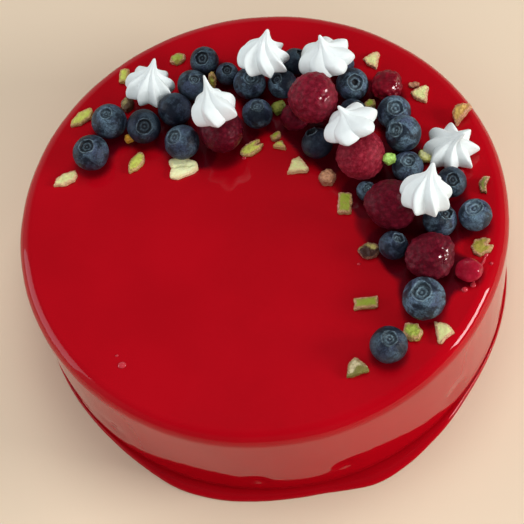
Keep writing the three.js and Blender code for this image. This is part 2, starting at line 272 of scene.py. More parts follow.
class Wiring:
    """A node tree that is wired up one node at a time."""

    def __init__(self, tree: bpy.types.NodeTree, shader: str) -> None:
        """Takes up a tree and its shader of that type."""
        self.tree = tree
        self.shader = next(node for node in tree.nodes if node.type == shader)

    def fill(self, node: bpy.types.Node, sockets: Inputs) -> None:
        """Fills a node's inputs.

        Args:
            node: The node.
            sockets: What goes into each input, a value or another node's output.
        """
        for key, value in sockets.items():
            if isinstance(value, Socket):
                self.tree.links.new(value, node.inputs[key])
            else:
                node.inputs[key].default_value = value

    def add(self, kind: str, sockets: Inputs, output: str | int = 0, **settings: object) -> Socket:
        """Adds a node.

        Args:
            kind: The node's type.
            sockets: What goes into each input, a value or another node's output.
            output: The output wanted.
            **settings: The node's own settings.

        Returns:
            That output.
        """
        node = self.tree.nodes.new(kind)
        for key, value in settings.items():
            setattr(node, key, value)
        self.fill(node, sockets)
        return node.outputs[output]

    def remap(self, value: Socket, span: Span, onto: Span) -> Socket:
        """Carries one range over to another, smoothly and held at its ends."""
        ends = {"From Min": span[0], "From Max": span[1], "To Min": onto[0], "To Max": onto[1]}
        return self.add("ShaderNodeMapRange", {"Value": value, **ends}, interpolation_type="SMOOTHSTEP")

    def sum(self, kind: str, first: object, second: object) -> Socket:
        """Adds a Math node of that kind, held between 0 and 1."""
        return self.add("ShaderNodeMath", {0: first, 1: second}, operation=kind, use_clamp=True)


class Graph(Wiring):
    """A material's node tree. Patterns are read in millimetres on the object."""

    def __init__(self, name: str) -> None:
        """Starts a material with its millimetre coordinates.

        Args:
            name: The material's name.
        """
        self.material = bpy.data.materials.new(name)
        self.material.use_nodes = True
        super().__init__(self.material.node_tree, "BSDF_PRINCIPLED")
        places = self.add("ShaderNodeTexCoord", {}, "Object")
        self.coords = self.add("ShaderNodeMapping", {"Vector": places, "Scale": (1 / MM,) * 3})

    def height(self, grain: Grain) -> Socket:
        """Makes a noise.

        Args:
            grain: What it is like.

        Returns:
            Its height.
        """
        bumps = {"Scale": grain.per_mm, "Detail": grain.detail}
        strength = {"Roughness": grain.rough, "Distortion": grain.warp}
        return self.add("ShaderNodeTexNoise", {"Vector": self.coords, **bumps, **strength})

    def pattern(self, grain: Grain) -> Socket:
        """Returns the height of a noise, with its span spread out."""
        return self.remap(self.height(grain), grain.span, grain.onto)

    def relief(self, *grains: Grain) -> Socket:
        """Turns noises into shading normals.

        Args:
            *grains: The noises, from the coarsest to the finest.

        Returns:
            The normals.
        """
        under: Inputs = {}
        for grain in grains:
            sockets = {"Height": self.height(grain), "Distance": grain.depth * MM, "Strength": 1.0, **under}
            under = {"Normal": self.add("ShaderNodeBump", sockets)}
        return under["Normal"]

    def layer(self, name: str) -> Socket:
        """Returns a number that the mesh carries on its vertices."""
        return self.add("ShaderNodeAttribute", {}, "Fac", attribute_name=name)

    def paint(self, name: str) -> Socket:
        """Returns a colour that the mesh carries on its vertices."""
        return self.add("ShaderNodeAttribute", {}, "Color", attribute_name=name)

    def blend(self, amount: object, first: object, second: object) -> Socket:
        """Mixes two colours by an amount."""
        ends = {key: (*c, 1.0) if isinstance(c, tuple) else c for key, c in ((6, first), (7, second))}
        return self.add("ShaderNodeMix", {0: amount, **ends}, 2, data_type="RGBA", clamp_factor=True)

    def finish(self, sockets: Inputs) -> Material:
        """Fills the shader's inputs with outputs and plain values, and returns the material."""
        self.fill(self.shader, sockets)
        return self.material


def light_inside(weight: float, radius: Colour) -> Inputs:
    """Returns the shader's values for light that goes so many metres in, in red, green and blue."""
    return {"Subsurface Weight": weight, "Subsurface Radius": radius, "Subsurface Scale": 1.0}


# ---------------------------------------------------------------- finishes


@dataclass(frozen=True)
class MirrorGlaze:
    """Wet red mirror glaze, nearly even in colour, with a faint swirl where it was poured, and darker among the
    fruit with painted shade, partly a stain of berry juices.
    """

    name: str = "mirror_glaze"
    deep: Colour = (0.365, 0.0012, 0.006)
    bright: Colour = (0.405, 0.0014, 0.007)
    # painted shade among the fruit, partly a stain of berry juices
    juice: Colour = (0.035, 0.0006, 0.004)
    glint: Colour = (1.0, 0.94, 0.98)
    swirl: Grain = Grain(0.025, 3.0, span=(0.3, 0.7))
    ripple: Grain = Grain(0.12, 1.0, depth=0.02)
    roughness: float = 0.03
    gloss: float = 0.32
    bending: float = 1.45

    def material(self) -> Material:
        """Makes the finish.

        Returns:
            The material, darkened with painted shade, partly a stain of berry juices, where the mesh's layer says
            so.
        """
        g = Graph(self.name)
        red = g.blend(g.pattern(self.swirl), self.deep, self.bright)
        return g.finish(
            {
                # painted shade, partly berry juices, darkens the glaze among the fruit
                "Base Color": g.blend(g.layer("juice"), red, self.juice),
                "Normal": g.relief(self.ripple),
                "Roughness": self.roughness,
                "IOR": self.bending,
                "Specular IOR Level": self.gloss,
                "Specular Tint": (*self.glint, 1.0),
            }
        )


@dataclass(frozen=True)
class ThinGlaze(MirrorGlaze):
    """The glaze where a bead or a thread of it is thin: paler, as a painted highlight, and less smooth, with a
    stronger shine.
    """

    name: str = "thin_glaze"
    # paler than the mirror glaze: painted highlight
    deep: Colour = (0.46, 0.02, 0.035)
    bright: Colour = (0.52, 0.035, 0.05)
    roughness: float = 0.16
    gloss: float = 0.8


@dataclass(frozen=True)
class BerryBloom:
    """Blueberry skin: near black under a dusty blue bloom, rubbed off in patches and thinned on the lower side as
    painted shade, with ashen crown lines.
    """

    skin: Colour = (0.005, 0.007, 0.014)
    bloom: Colour = (0.145, 0.235, 0.31)
    violet: Colour = (0.095, 0.13, 0.22)
    ash: Colour = (0.23, 0.335, 0.385)
    scar: Colour = (0.010, 0.011, 0.014)
    patches: Grain = Grain(0.17, 5.0, 0.62, 0.8, (0.41, 0.57), (0.12, 1.0))
    mottle: Grain = Grain(0.7, 5.0, 0.8, 1.5, (0.38, 0.60), (0.25, 1.0))
    tints: Grain = Grain(0.16, span=(0.4, 0.65))
    flecks: Grain = Grain(0.7, 4.0, 0.8, 0.0, (0.4, 0.6), (0.15, 1.0))
    creases: Grain = Grain(0.5, 4.0, 0.6, 0.6, depth=0.4)
    pores: Grain = Grain(3.0, 4.0, 0.6, depth=0.09)
    dusty: Span = (0.0, 0.6)
    roughness: Span = (0.42, 0.75)
    gloss: float = 0.28

    def material(self) -> Material:
        """Makes the finish.

        Returns:
            The material. It reads the layers "bloom", "core" and "ash"; the bloom layer is thinned on the lower
            side as painted shade.
        """
        g = Graph("blueberry_skin")
        uneven = g.sum("MULTIPLY", g.pattern(self.patches), g.pattern(self.mottle))
        # bloom left after the rubbed patches and the painted shade on the lower side
        bloom_worn_and_shaded = g.sum("MULTIPLY", g.layer("bloom"), uneven)
        dust = g.blend(g.pattern(self.tints), self.bloom, self.violet)
        colour = g.blend(g.layer("core"), g.blend(bloom_worn_and_shaded, self.skin, dust), self.scar)
        lines = g.sum("MULTIPLY", g.layer("ash"), g.pattern(self.flecks))
        return g.finish(
            {
                "Base Color": g.blend(lines, colour, self.ash),
                "Roughness": g.remap(bloom_worn_and_shaded, self.dusty, self.roughness),
                "Normal": g.relief(self.creases, self.pores),
                "Specular IOR Level": self.gloss,
            }
        )


@dataclass(frozen=True)
class BerrySkin:
    """Raspberry skin: its colours, how rough it is where dry, its sheen, and its coat of juice where moist.

    The fuzz is a pattern of paler specks, the down gives the sheen its colour, and light glows a little way
    in. The gap colour is painted shade in the furrows between the drupelets, and the pale colour shows most on
    each drupelet's dome, partly as painted light.
    """

    base: Colour
    pale: Colour
    # painted shade in the furrows between the drupelets
    gap: Colour
    dry: float
    sheen: float
    coat: float
    fuzz: Grain = Grain(0.9, 6.0, 0.9, span=(0.46, 0.58))
    pores: Grain = Grain(1.3, 4.0, 0.6, depth=0.14)
    fuzzy: float = 0.6
    moist_edge: Span = (0.42, 0.58)
    moist: float = 0.12
    coat_roughness: float = 0.04
    gloss: float = 0.3
    glint: Colour = (1.0, 0.6, 0.65)
    down: Colour = (1.0, 0.35, 0.42)
    down_roughness: float = 0.35
    glow: float = 0.15
    glow_depth: Colour = (0.0025, 0.0003, 0.0004)

    def material(self, name: str) -> Material:
        """Makes the finish.

        Args:
            name: The material's name.

        Returns:
            The material. It reads the layers of painted shade in the furrows, of tone with painted light on the
            domes, and of moisture.
        """
        g = Graph(name)
        moist = g.layer("moist")
        # each drupelet's own paler tone, strongest on its dome as painted light
        colour = g.blend(g.layer("hue"), self.base, self.pale)
        colour = g.blend(g.sum("MULTIPLY", g.pattern(self.fuzz), self.fuzzy), colour, self.pale)
        return g.finish(
            {
                # the gap colour is painted shade in the furrows
                "Base Color": g.blend(g.layer("gap"), colour, self.gap),
                "Roughness": g.remap(moist, self.moist_edge, (self.dry, self.moist)),
                "Coat Weight": g.remap(moist, self.moist_edge, (0.0, self.coat)),
                "Coat Roughness": self.coat_roughness,
                "Normal": g.relief(self.pores),
                "Specular IOR Level": self.gloss,
                "Specular Tint": (*self.glint, 1.0),
                "Sheen Weight": self.sheen,
                "Sheen Roughness": self.down_roughness,
                "Sheen Tint": (*self.down, 1.0),
                **light_inside(self.glow, self.glow_depth),
            }
        )


class Ripeness(Enum):
    """How ripe or how soft a raspberry is, and its skin."""

    # the third colour of each skin is painted shade in the furrows between the drupelets
    VELVET = BerrySkin((0.18, 0.003, 0.014), (0.42, 0.036, 0.062), (0.10, 0.001, 0.006), 0.6, 0.02, 0.0)
    RIPE = BerrySkin((0.12, 0.0015, 0.010), (0.31, 0.018, 0.042), (0.06, 0.001, 0.005), 0.55, 0.02, 1.0)
    DARK = BerrySkin((0.07, 0.001, 0.007), (0.19, 0.008, 0.024), (0.04, 0.001, 0.004), 0.5, 0.01, 1.0)
    WET = BerrySkin((0.15, 0.0015, 0.009), (0.25, 0.008, 0.02), (0.06, 0.001, 0.005), 0.4, 0.0, 1.0)
    GEL = BerrySkin((0.31, 0.004, 0.020), (0.43, 0.018, 0.045), (0.20, 0.001, 0.008), 0.2, 0.0, 0.6)


@dataclass(frozen=True)
class DryMeringue:
    """Smooth matt white meringue with the finest pores."""

    white: Colour = (0.79, 0.85, 0.85)
    shade: Colour = (0.73, 0.79, 0.79)
    drift: Grain = Grain(0.12, 3.0, span=(0.35, 0.7))
    waves: Grain = Grain(0.35, depth=0.12)
    pores: Grain = Grain(2.5, 4.0, 0.6, depth=0.05)
    roughness: float = 0.62
    gloss: float = 0.35
    glow: float = 0.06
    glow_depth: Colour = (0.0012, 0.0011, 0.001)

    def material(self) -> Material:
        """Makes the finish.

        Returns:
            The material.
        """
        g = Graph("dry_meringue")
        return g.finish(
            {
                "Base Color": g.blend(g.pattern(self.drift), self.white, self.shade),
                "Normal": g.relief(self.waves, self.pores),
                "Roughness": self.roughness,
                "Specular IOR Level": self.gloss,
                **light_inside(self.glow, self.glow_depth),
            }
        )


class Kernel(Enum):
    """Colours of a chopped pistachio: its cut heart, also its lit top as painted light, and its outer side, also
    its shaded edges and steep faces as painted shade.
    """

    # each pair: cut heart with painted light on the top, outer side with painted shade on edges and steep faces
    CREAM = ((0.94, 0.98, 0.56), (0.88, 0.74, 0.42))
    PALE = ((0.70, 0.73, 0.32), (0.70, 0.46, 0.24))
    TAN = ((0.66, 0.56, 0.34), (0.19, 0.17, 0.04))
    # lifted to the brightest kernel as painted light, for a piece that lies in shade
    SUNNY = ((1.0, 1.0, 0.50), (0.80, 0.80, 0.22))
    LIME = ((0.60, 0.66, 0.12), (0.48, 0.33, 0.10))
    OLIVE = ((0.22, 0.24, 0.045), (0.09, 0.10, 0.015))
    KHAKI = ((0.36, 0.31, 0.045), (0.42, 0.26, 0.09))
    MOSS = ((0.29, 0.36, 0.035), (0.40, 0.25, 0.09))
    GREEN = ((0.36, 0.46, 0.065), (0.32, 0.26, 0.05))
    BRIGHT = ((0.50, 0.84, 0.22), (0.31, 0.50, 0.09))
    GOLD = ((0.66, 0.43, 0.11), (0.46, 0.20, 0.05))
    # lifted as painted light, for a piece that lies in deep shade
    AMBER = ((0.90, 0.50, 0.06), (0.60, 0.28, 0.02))
    BROWN = ((0.66, 0.34, 0.19), (0.30, 0.12, 0.065))
    DARK = ((0.36, 0.30, 0.12), (0.10, 0.055, 0.028))
    HUSK = ((0.42, 0.36, 0.11), (0.05, 0.02, 0.016))


@dataclass(frozen=True)
class CutPistachio:
    """Cut kernel, mottled, with a dull pinkish-brown skin left on some of its sides; its lit top and shaded sides
    are painted in its two kernel colours.
    """

    skin: Colour = (0.68, 0.36, 0.23)
    vein: Colour = (0.26, 0.10, 0.07)
    mottle: Grain = Grain(0.6, 4.0, 0.75, 0.8, (0.46, 0.64))
    veins: Grain = Grain(1.6, 3.0, span=(0.4, 0.65))
    flakes: Grain = Grain(0.7, 3.0, span=(0.36, 0.5), onto=(0.25, 1.0))
    chips: Grain = Grain(0.8, 3.0, 0.6, 0.8, depth=0.5)
    pores: Grain = Grain(2.6, 3.0, depth=0.14)
    mottled: float = 0.5
    roughness: float = 0.5
    glow: float = 0.15
    glow_depth: Colour = (0.001, 0.001, 0.0004)

    def material(self) -> Material:
        """Makes the finish.

        Returns:
            The material. It reads two vertex colours, the cut heart with painted light and the outer side with
            painted shade, and the layers of the rim, where the side colour lies, and of the skin.
        """
        g = Graph("cut_pistachio")
        rim = g.sum("ADD", g.layer("rim"), g.sum("MULTIPLY", g.pattern(self.mottle), self.mottled))
        # the side colour on the rim paints shade on the edges and steep faces, partly the real outer side
        kernel = g.blend(rim, g.paint("heart"), g.paint("side"))
        husk = g.blend(g.pattern(self.veins), self.skin, self.vein)
        left = g.sum("MULTIPLY", g.layer("skin"), g.pattern(self.flakes))
        return g.finish(
            {
                "Base Color": g.blend(left, kernel, husk),
                "Normal": g.relief(self.chips, self.pores),
                "Roughness": self.roughness,
                **light_inside(self.glow, self.glow_depth),
            }
        )


# ---------------------------------------------------------------- the glazed cake


@dataclass(frozen=True)
class Pool:
    """Glaze that ran out further at one place of the foot: its angle, reach in mm and spread, in degrees."""

    at: float
    out: float
    spread: float


@dataclass(frozen=True)
class Dent:
    """A soft hollow in the wall: angle in degrees, height, width and depth in mm."""

    at: float
    height: float
    width: float
    depth: float


@dataclass(frozen=True)
class Sway:
    """A slow wave in the wall: its reach in mm, waves for each mm, how fast it changes upwards, and its seed."""

    out: float
    per_mm: float
    upward: float
    seed: float


@dataclass
class GlazedCake:
    """The cake under its glaze: flat base, irregular foot, upright wall, rounded rim and level top.

    foot is the outline of a foot that stands out 1 mm, as places out of the wall's line and heights.
    draw_in keeps the swaying wall inside the solid one. A layer of painted shade, partly a stain of berry juices,
    darkens the glaze among the fruit: it fades from its reach in mm off a berry to under the berry's edge, shows
    past the share dry, has its own strength and most, and round the juicy berries it spreads a little further and
    runs to the near left, where their shadow falls.
    """

    radius: float = 100.0
    height: float = CAKE_HEIGHT
    shoulder: float = 6.3
    foot_reach: float = 0.8
    foot_wave: float = 0.06
    foot: Profile = (
        (0.80, 0.0), (1.0, 0.3), (0.96, 0.9), (0.80, 1.5), (0.5, 1.95),
        (0.1, 2.0), (-0.35, 1.85), (-0.5, 2.15), (-0.3, 2.7), (0.0, 3.6),
    )
    sectors: int = 480
    base_rings: int = 4
    wall_rings: int = 18
    top_rings: int = 90
    draw_in: float = 0.2
    sag: float = 0.12
    sag_from_rim: float = 14.0
    # raspberries whose painted shade, partly berry juices, spreads further and runs to the near left
    juicy_and_shadowing: tuple[str, ...] = ("raspberry_2", "raspberry_4", "raspberry_5", "raspberry_6")
    juice_run_to_shade_side: float = 1.8
    juice_reach: Span = (8.0, -2.0)
    dry: float = 0.72
    juice_strength: float = 2.4
    juice_and_shade_most: float = 0.9
    finish: MirrorGlaze = MirrorGlaze()
    sways: tuple[Sway, ...] = (Sway(0.22, 0.05, 0.25, 4.0), Sway(0.06, 0.22, 0.12, 9.0))
    pools: tuple[Pool, ...] = (
        Pool(-118, 4.6, 12),
        Pool(-96, 1.8, 9),
        Pool(-76, 5.8, 8),
        Pool(-60, 2.2, 7),
        Pool(24, 1.5, 11),
        Pool(98, 2.6, 9),
        Pool(163, 1.9, 12),
    )
    dents: tuple[Dent, ...] = (
        Dent(-83, 14, 5, 0.7),
        Dent(-104, 12, 4, 0.5),
        Dent(-52, 17, 6, 0.5),
        Dent(-140, 20, 6, 0.5),
        Dent(-12, 15, 5, 0.5),
        Dent(62, 14, 5, 0.6),
        Dent(145, 18, 6, 0.5),
    )

    def profile(self) -> Profile:
        """Draws the outline, with a foot 1 mm out.

        Returns:
            The line from the middle of the base to the middle of the top.
        """
        edge, level = self.radius, self.radius - self.shoulder
        wall_foot, wall_top = self.foot[-1][1], self.height - self.shoulder
        base = [(edge * k / self.base_rings, 0.0) for k in range(self.base_rings)]
        foot = smooth_line([(edge + out, z) for out, z in self.foot], 3)
        rings = range(1, self.wall_rings)
        wall = [(edge, wall_foot + (wall_top - wall_foot) * k / self.wall_rings) for k in rings]
        rim = []
        for k in range(self.wall_rings + 1):
            a = math.pi / 2 * k / self.wall_rings
            rim.append((edge - self.shoulder * (1 - math.cos(a)), wall_top + self.shoulder * math.sin(a)))
        top = [(level * (1 - k / self.top_rings), self.height) for k in range(1, self.top_rings + 1)]
        return [*base, *foot, *wall, *rim, *top]

    def reach(self, angle: float) -> float:
        """Works out how far the foot stands out.

        Args:
            angle: Where, in radians.

        Returns:
            How far, in mm.
        """
        out = self.foot_reach
        for pool in self.pools:
            away = math.remainder(angle - math.radians(pool.at), math.tau)
            out += pool.out * math.exp(-0.5 * (away / math.radians(pool.spread)) ** 2)
        return out

    def sway(self, angle: float, z: float) -> float:
        """Works out how far the wall is out of true.

        Args:
            angle: Where, in radians.
            z: At what height, in mm.

        Returns:
            How far out, in mm.
        """
        around = toward(angle) * self.radius
        places = ((s, around + Vector((0, 0, z * s.upward))) for s in self.sways)
        out = sum(s.out * wander(place, s.per_mm, s.seed) for s, place in places)
        for dent in self.dents:
            away = math.remainder(angle - math.radians(dent.at), math.tau) * self.radius
            out -= dent.depth * hump(away, 0, dent.width) * hump(z, dent.height, dent.width * 0.8)
        return out

    def sculpt(self, co: Vector) -> Vector:
        """Moves a point of the spun body to where the set glaze has it.

        Args:
            co: The point, in mm.

        Returns:
            Its new place.
        """
        distance = math.hypot(co.x, co.y)
        angle = math.atan2(co.y, co.x)
        if distance < SLIVER:
            return co
        reach = distance
        if distance > self.radius + 1e-4:
            swell = 1 + self.foot_wave * wander(toward(angle), 9, 2.0)
            reach = self.radius + (distance - self.radius) * self.reach(angle) * swell
        wall = fade(distance, self.radius - self.shoulder, self.radius - 0.4) * fade(co.z, 3.5, 9.0)
        if wall > 0:
            reach += wall * (self.sway(angle, co.z) - self.draw_in)
        lift = 0.0
        if co.z > self.height - 0.01:
            inwards = fade(distance, self.radius, self.radius - self.sag_from_rim)
            lift = -self.sag * fade(wander(co, 0.03, 1.0), -0.2, 0.6) * inwards
        return Vector((co.x * reach / distance, co.y * reach / distance, co.z + lift))

    def fruit_on_top(self) -> list[tuple[Vector, float]]:
        """Finds where fruit lies on the glaze, for the painted shade round it.

        Returns:
            Middles and radii, in mm; those of the juicy berries are widened and moved to the near left, their
            shade side.
        """
        spots = []
        for name in (*Blueberries().nodes(), *Raspberries().nodes()):
            low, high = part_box(name)
            middle = (Vector(low) + Vector(high)).xy / 2 / MM
            # painted shade of the juicy berries spreads further and moves to the near left, where their shadow
            # falls
            juice_run_to_shade_side = self.juice_run_to_shade_side if name in self.juicy_and_shadowing else 0.0
            spots.append((middle - Vector((juice_run_to_shade_side, juice_run_to_shade_side / 2)), (high[0] - low[0]) / 2 / MM + juice_run_to_shade_side))
        return spots

    def build(self) -> None:
        """Builds the glazed body and dresses it in the glaze."""
        bm = spun(self.profile(), self.sectors)
        (juice,) = marks(bm, "juice")
        fruit = self.fruit_on_top()
        for vert in bm.verts:
            vert.co = self.sculpt(vert.co)
            # painted shade round and between the fruit, partly a stain of berry juices
            if vert.co.z > self.height - 0.5:
                juice_and_shade_sum = sum(fade((vert.co.xy - spot).length - reach, *self.juice_reach) for spot, reach in fruit)
                vert[juice] = min(self.juice_and_shade_most, max(0.0, self.juice_strength * (juice_and_shade_sum - self.dry)))
        to_metres(bm)
        finished(bm, "glazed_body", self.finish.material(), "glaze", "glazed_cake")


@dataclass(frozen=True)
class Bead:
    """A bead of glaze or juice on the level top: its middle and width, in mm."""

    x: float
    y: float
    width: float


@dataclass
class GlazeMarks:
    """What set on the glaze: a bubble, beads of juice by the berries and a thread of glaze.

    A bead's and a wider bubble's heights are against half their width, and flatter is how wide and tall the
    drops of the thread are.
    """

    top: float = CAKE_HEIGHT
    narrow: float = 0.86
    bead_height: float = 0.68
    bubble_height: float = 0.32
    bubble_width: float = 3.0
    thread_width: float = 1.5
    flatter: tuple[float, float, float] = (1.25, 1.25, 0.7)
    thread: Profile = ((82.4, -41.6), (80.6, -44.6), (77.6, -47.4), (75.6, -50.6), (74.2, -53.4))
    # paler glaze: painted highlight on the beads and the thread
    finish: MirrorGlaze = ThinGlaze()
    beads: tuple[Bead, ...] = (
        Bead(-64.6, -55.0, 3.2),
        Bead(-65.9, -50.6, 1.1),
        Bead(70.6, -54.6, 2.6),
        Bead(82.3, -3.0, 2.8),
        Bead(-1.6, 25.6, 1.8),
        Bead(83.5, -46.0, 1.4),
        Bead(33.5, -34.0, 1.3),
    )

    def bead(self, bm: Mesh, bead: Bead) -> None:
        """Adds a low round bead, sunk to its widest line.

        Args:
            bm: The mesh that it is added to.
            bead: The bead.
        """
        height = self.bead_height if bead.width < self.bubble_width else self.bubble_height
        made = bmesh.ops.create_uvsphere(bm, u_segments=28, v_segments=16, radius=bead.width / 2)["verts"]
        bmesh.ops.scale(bm, vec=(1.0, self.narrow, height), verts=made)
        bmesh.ops.translate(bm, vec=(bead.x, bead.y, self.top), verts=made)

    def build(self) -> None:
        """Builds the beads and the thread as one piece."""
        bm = bmesh.new()
        for bead in self.beads:
            self.bead(bm, bead)
        line = smooth_line(self.thread, 6)
        for k, (x, y) in enumerate(line):
            swell = 0.34 + 0.3 * abs(math.cos(2.6 * k)) + 0.5 * hump(k, 0, 2) + 0.7 * hump(k, len(line), 2)
            radius = self.thread_width * swell / 2
            made = bmesh.ops.create_icosphere(bm, subdivisions=3, radius=radius)["verts"]
            bmesh.ops.scale(bm, vec=self.flatter, verts=made)
            bmesh.ops.translate(bm, vec=(x, y, self.top), verts=made)
        to_metres(bm)
        finished(bm, "glaze_beads", self.finish.material(), "glaze")


# ---------------------------------------------------------------- blueberries


@dataclass(frozen=True)
class BerryLook:
    """One blueberry: how it lies, how dusty it is, and its crown.

    ring is the crown's width over the berry's, depth that of the dish in it, star how far its lobes stand
    out, disc how pale the dish is, dents how uneven the skin, and hole how deep the scar in the middle.
    """

    heading: float
    tilt: float
    bloom: float
    ring: float = 0.36
    depth: float = 0.14
    star: float = 0.5
    disc: float = 0.4
    dents: float = 1.0
    hole: float = 0.0


@dataclass(frozen=True)
class CrownSpot:
    """Where a point of a berry is against its crown.

    flat is its distance from the axis, as if the crown were round, angle and around its direction, lobe 1
    in the middle of a lobe, upper 1 above the waist, widen how far the ragged crown draws it out, inside 1
    in the dish and on_rim 1 on the lip.
    """

    flat: float
    angle: float
    around: Vector
    lobe: float
    upper: float = 0.0
    widen: float = 1.0
    inside: float = 0.0
    on_rim: float = 0.0


@dataclass
class Blueberries:
    """The blueberries, each with a five-lobed crown round a shallow dish.

    collar is how far the crown's foot stands out of its ring. ragged, starred and notched say how far the
    crown's circle is drawn out unevenly, in five points and in small nicks, lobe how high its lobes stand,
    and puckered, uneven and dented how deep the folds, the slow hollows and the small dents of the skin
    are, all against the radius. halo is how much more bloom lies round the crown, and spin_each turns each
    berry further than the last.
    """

    steps: int = 80
    rings: int = 33
    lobes: int = 5
    oblate: float = 0.93
    collar: float = 0.09
    ragged: float = 0.07
    notched: float = 0.04
    starred: float = 0.02
    lobe: float = 0.12
    puckered: float = 0.02
    uneven: float = 0.035
    dented: float = 0.014
    halo: float = 0.35
    spin_each: float = 40.0
    finish: BerryBloom = BerryBloom()
    looks: tuple[BerryLook, ...] = (
        BerryLook(-133, 7, 0.58, 0.42, 0.05, 0.1, 0.45),
        BerryLook(-110, 4, 0.75, 0.36, 0.06, 0.3, 0.85),
        BerryLook(-80, 36, 0.32, 0.46, 0.05, 0.1, 0.5),
        BerryLook(90, 125, 0.40),
        BerryLook(-177, 25, 0.6, 0.46, 0.05, 0.3, 0.8, 1.4),
        BerryLook(-44, 19, 0.65, 0.34, 0.05, 0.3, 0.9),
        BerryLook(-111, 22, 0.6, 0.50, 0.07, 0.3, 0.6),
        BerryLook(-67, 11, 0.55, 0.48, 0.10, 0.6, 0.4),
        BerryLook(-50, 16, 1.0, 0.44, 0.06, 0.4, 1.0),
        BerryLook(21, 7, 0.60, 0.44, 0.06, 0.9, 0.9, 1.8),
        BerryLook(-171, 25, 0.70, 0.40, 0.08, 0.8, 0.6),
        BerryLook(7, 35, 0.25, 0.38, 0.10, 0.5, 0.2),
        BerryLook(-69, 29, 1.0, 0.50, 0.06, 0.3, 0.75, 1.0, 1.0),
        BerryLook(60, 40, 0.85),
        BerryLook(-73, 16, 1.00, 0.48, 0.07, 0.3, 0.8),
        BerryLook(-169, 32, 1.00, 0.40, 0.08, 0.9, 0.9),
        BerryLook(118, 36, 0.12, 0.38, 0.08, 0.5, 0.2),
        BerryLook(-58, 6, 0.9, 0.47, 0.06, 0.6, 0.9, 1.8),
        BerryLook(-37, 25, 0.75, 0.54, 0.10, 1.0, 1.0),
        BerryLook(-85, 21, 0.38, 0.46, 0.06, 0.4, 0.6, 1.8),
        BerryLook(133, 7, 1.0, 0.52, 0.05, 0.2, 1.0),
        BerryLook(-5, 23, 1.00, 0.44, 0.06, 0.9, 0.5, 2.4),
        BerryLook(7, 25, 0.50, 0.40, 0.10, 1.0, 0.8),
        BerryLook(-170, 7, 1.0, 0.46, 0.10, 0.3, 0.8, 1.3),
        BerryLook(-28, 4, 0.42, 0.42, 0.06, 0.2, 0.9),
        BerryLook(0, 30, 0.35),
    )

    def nodes(self) -> list[str]:
        """Returns the names of the berries' nodes."""
        return [f"blueberry_{number:02d}" for number in range(1, len(self.looks) + 1)]

    def profile(self, look: BerryLook) -> Profile:
        """Draws a berry's outline, for a berry of radius 1.

        Args:
            look: The berry.

        Returns:
            (radius, height) pairs from the bottom of its axis.
        """
        ring, foot = look.ring, look.ring + self.collar
        span = math.acos(foot) + math.pi / 2
        body = []
        for k in range(self.rings + 1):
            a = -math.pi / 2 + span * k / self.rings
            body.append((max(0.0, math.cos(a)), self.oblate * math.sin(a)))
        z = body[-1][1]
        floor = z - look.depth
        lip = [(foot, z), (ring + 0.04, z + 0.012), (ring + 0.035, z + 0.05), (ring + 0.03, z + 0.085)]
        lip += [(ring - 0.02, z + 0.085), (ring - 0.06, z + 0.03)]
        dish = [(ring - 0.085, floor + 0.03), (ring * 0.72, floor), (ring * 0.60, floor + 0.01)]
        dish += [(ring * 0.50, floor + 0.05), (ring * 0.38, floor + 0.03)]
        scar = [(ring * 0.26, floor - 0.02 - 0.06 * look.hole), (ring * 0.12, floor + 0.02 - 0.12 * look.hole)]
        crown = smooth_line([*lip, *dish, *scar, (0.0, floor + 0.025 - 0.14 * look.hole)], 2)
        return [*body, *crown[1:]]

    def spot(self, co: Vector, look: BerryLook, seed: int) -> CrownSpot:
        """Finds where a point is against the ragged crown.

        Args:
            co: The point, as it was spun.
            look: The berry.
            seed: Sets how its crown is ragged.

        Returns:
            Its place.
        """
        flat, angle, ring = math.hypot(co.x, co.y), math.atan2(co.y, co.x), look.ring
        around = toward(angle)
        lobe = abs(math.cos(self.lobes / 2 * angle + seed)) ** 1.5
        if co.z <= 0:
            return CrownSpot(flat, angle, around, lobe)
        ragged = 1 + self.ragged * wander(around, 1.3, seed + 0.1)
        ragged += self.starred * look.star * math.cos(self.lobes * angle + 2 * seed)
        ragged += self.notched * look.dents * wander(around, 3.5, seed + 0.6)
        flat /= 1 + (ragged - 1) * fade(flat, 0.95, ring)
        widen = 1 + (ragged - 1) * fade(flat, 0.95, ring)
        inside = fade(flat, ring + 0.01, ring - 0.07)
        lip = self.oblate * math.sin(math.acos(ring + self.collar))
        on_rim = hump(flat, ring + 0.01, 0.05) * fade(co.z, lip - 0.01, lip + 0.07)
        return CrownSpot(flat, angle, around, lobe, 1.0, widen, inside, on_rim)

    def drawn_out(self, co: Vector, spot: CrownSpot, look: BerryLook, seed: int) -> Vector:
        """Draws out the crown's lobes and puckers the skin round it.

        Args:
            co: The point, as it was spun.
            spot: Where it is against the crown.
            look: The berry.
            seed: Sets how its lobes differ.

        Returns:
            Its new place.
        """
        co = co.copy()
        split = 0.55 + 0.45 * wander(spot.around, 2.5, seed)
        grow = look.star * spot.on_rim * (spot.lobe * self.lobe * split - 0.03)
        co.z += grow
        for k in (0, 1):
            co[k] *= spot.widen
            co[k] *= 1 + grow * 0.6
        pucker = fade(spot.flat, 0.75, look.ring) * (1 - spot.inside) * spot.upper
        return co * (1 - self.puckered * look.dents * pucker * abs(math.sin(self.lobes * spot.angle + 2 * seed)))

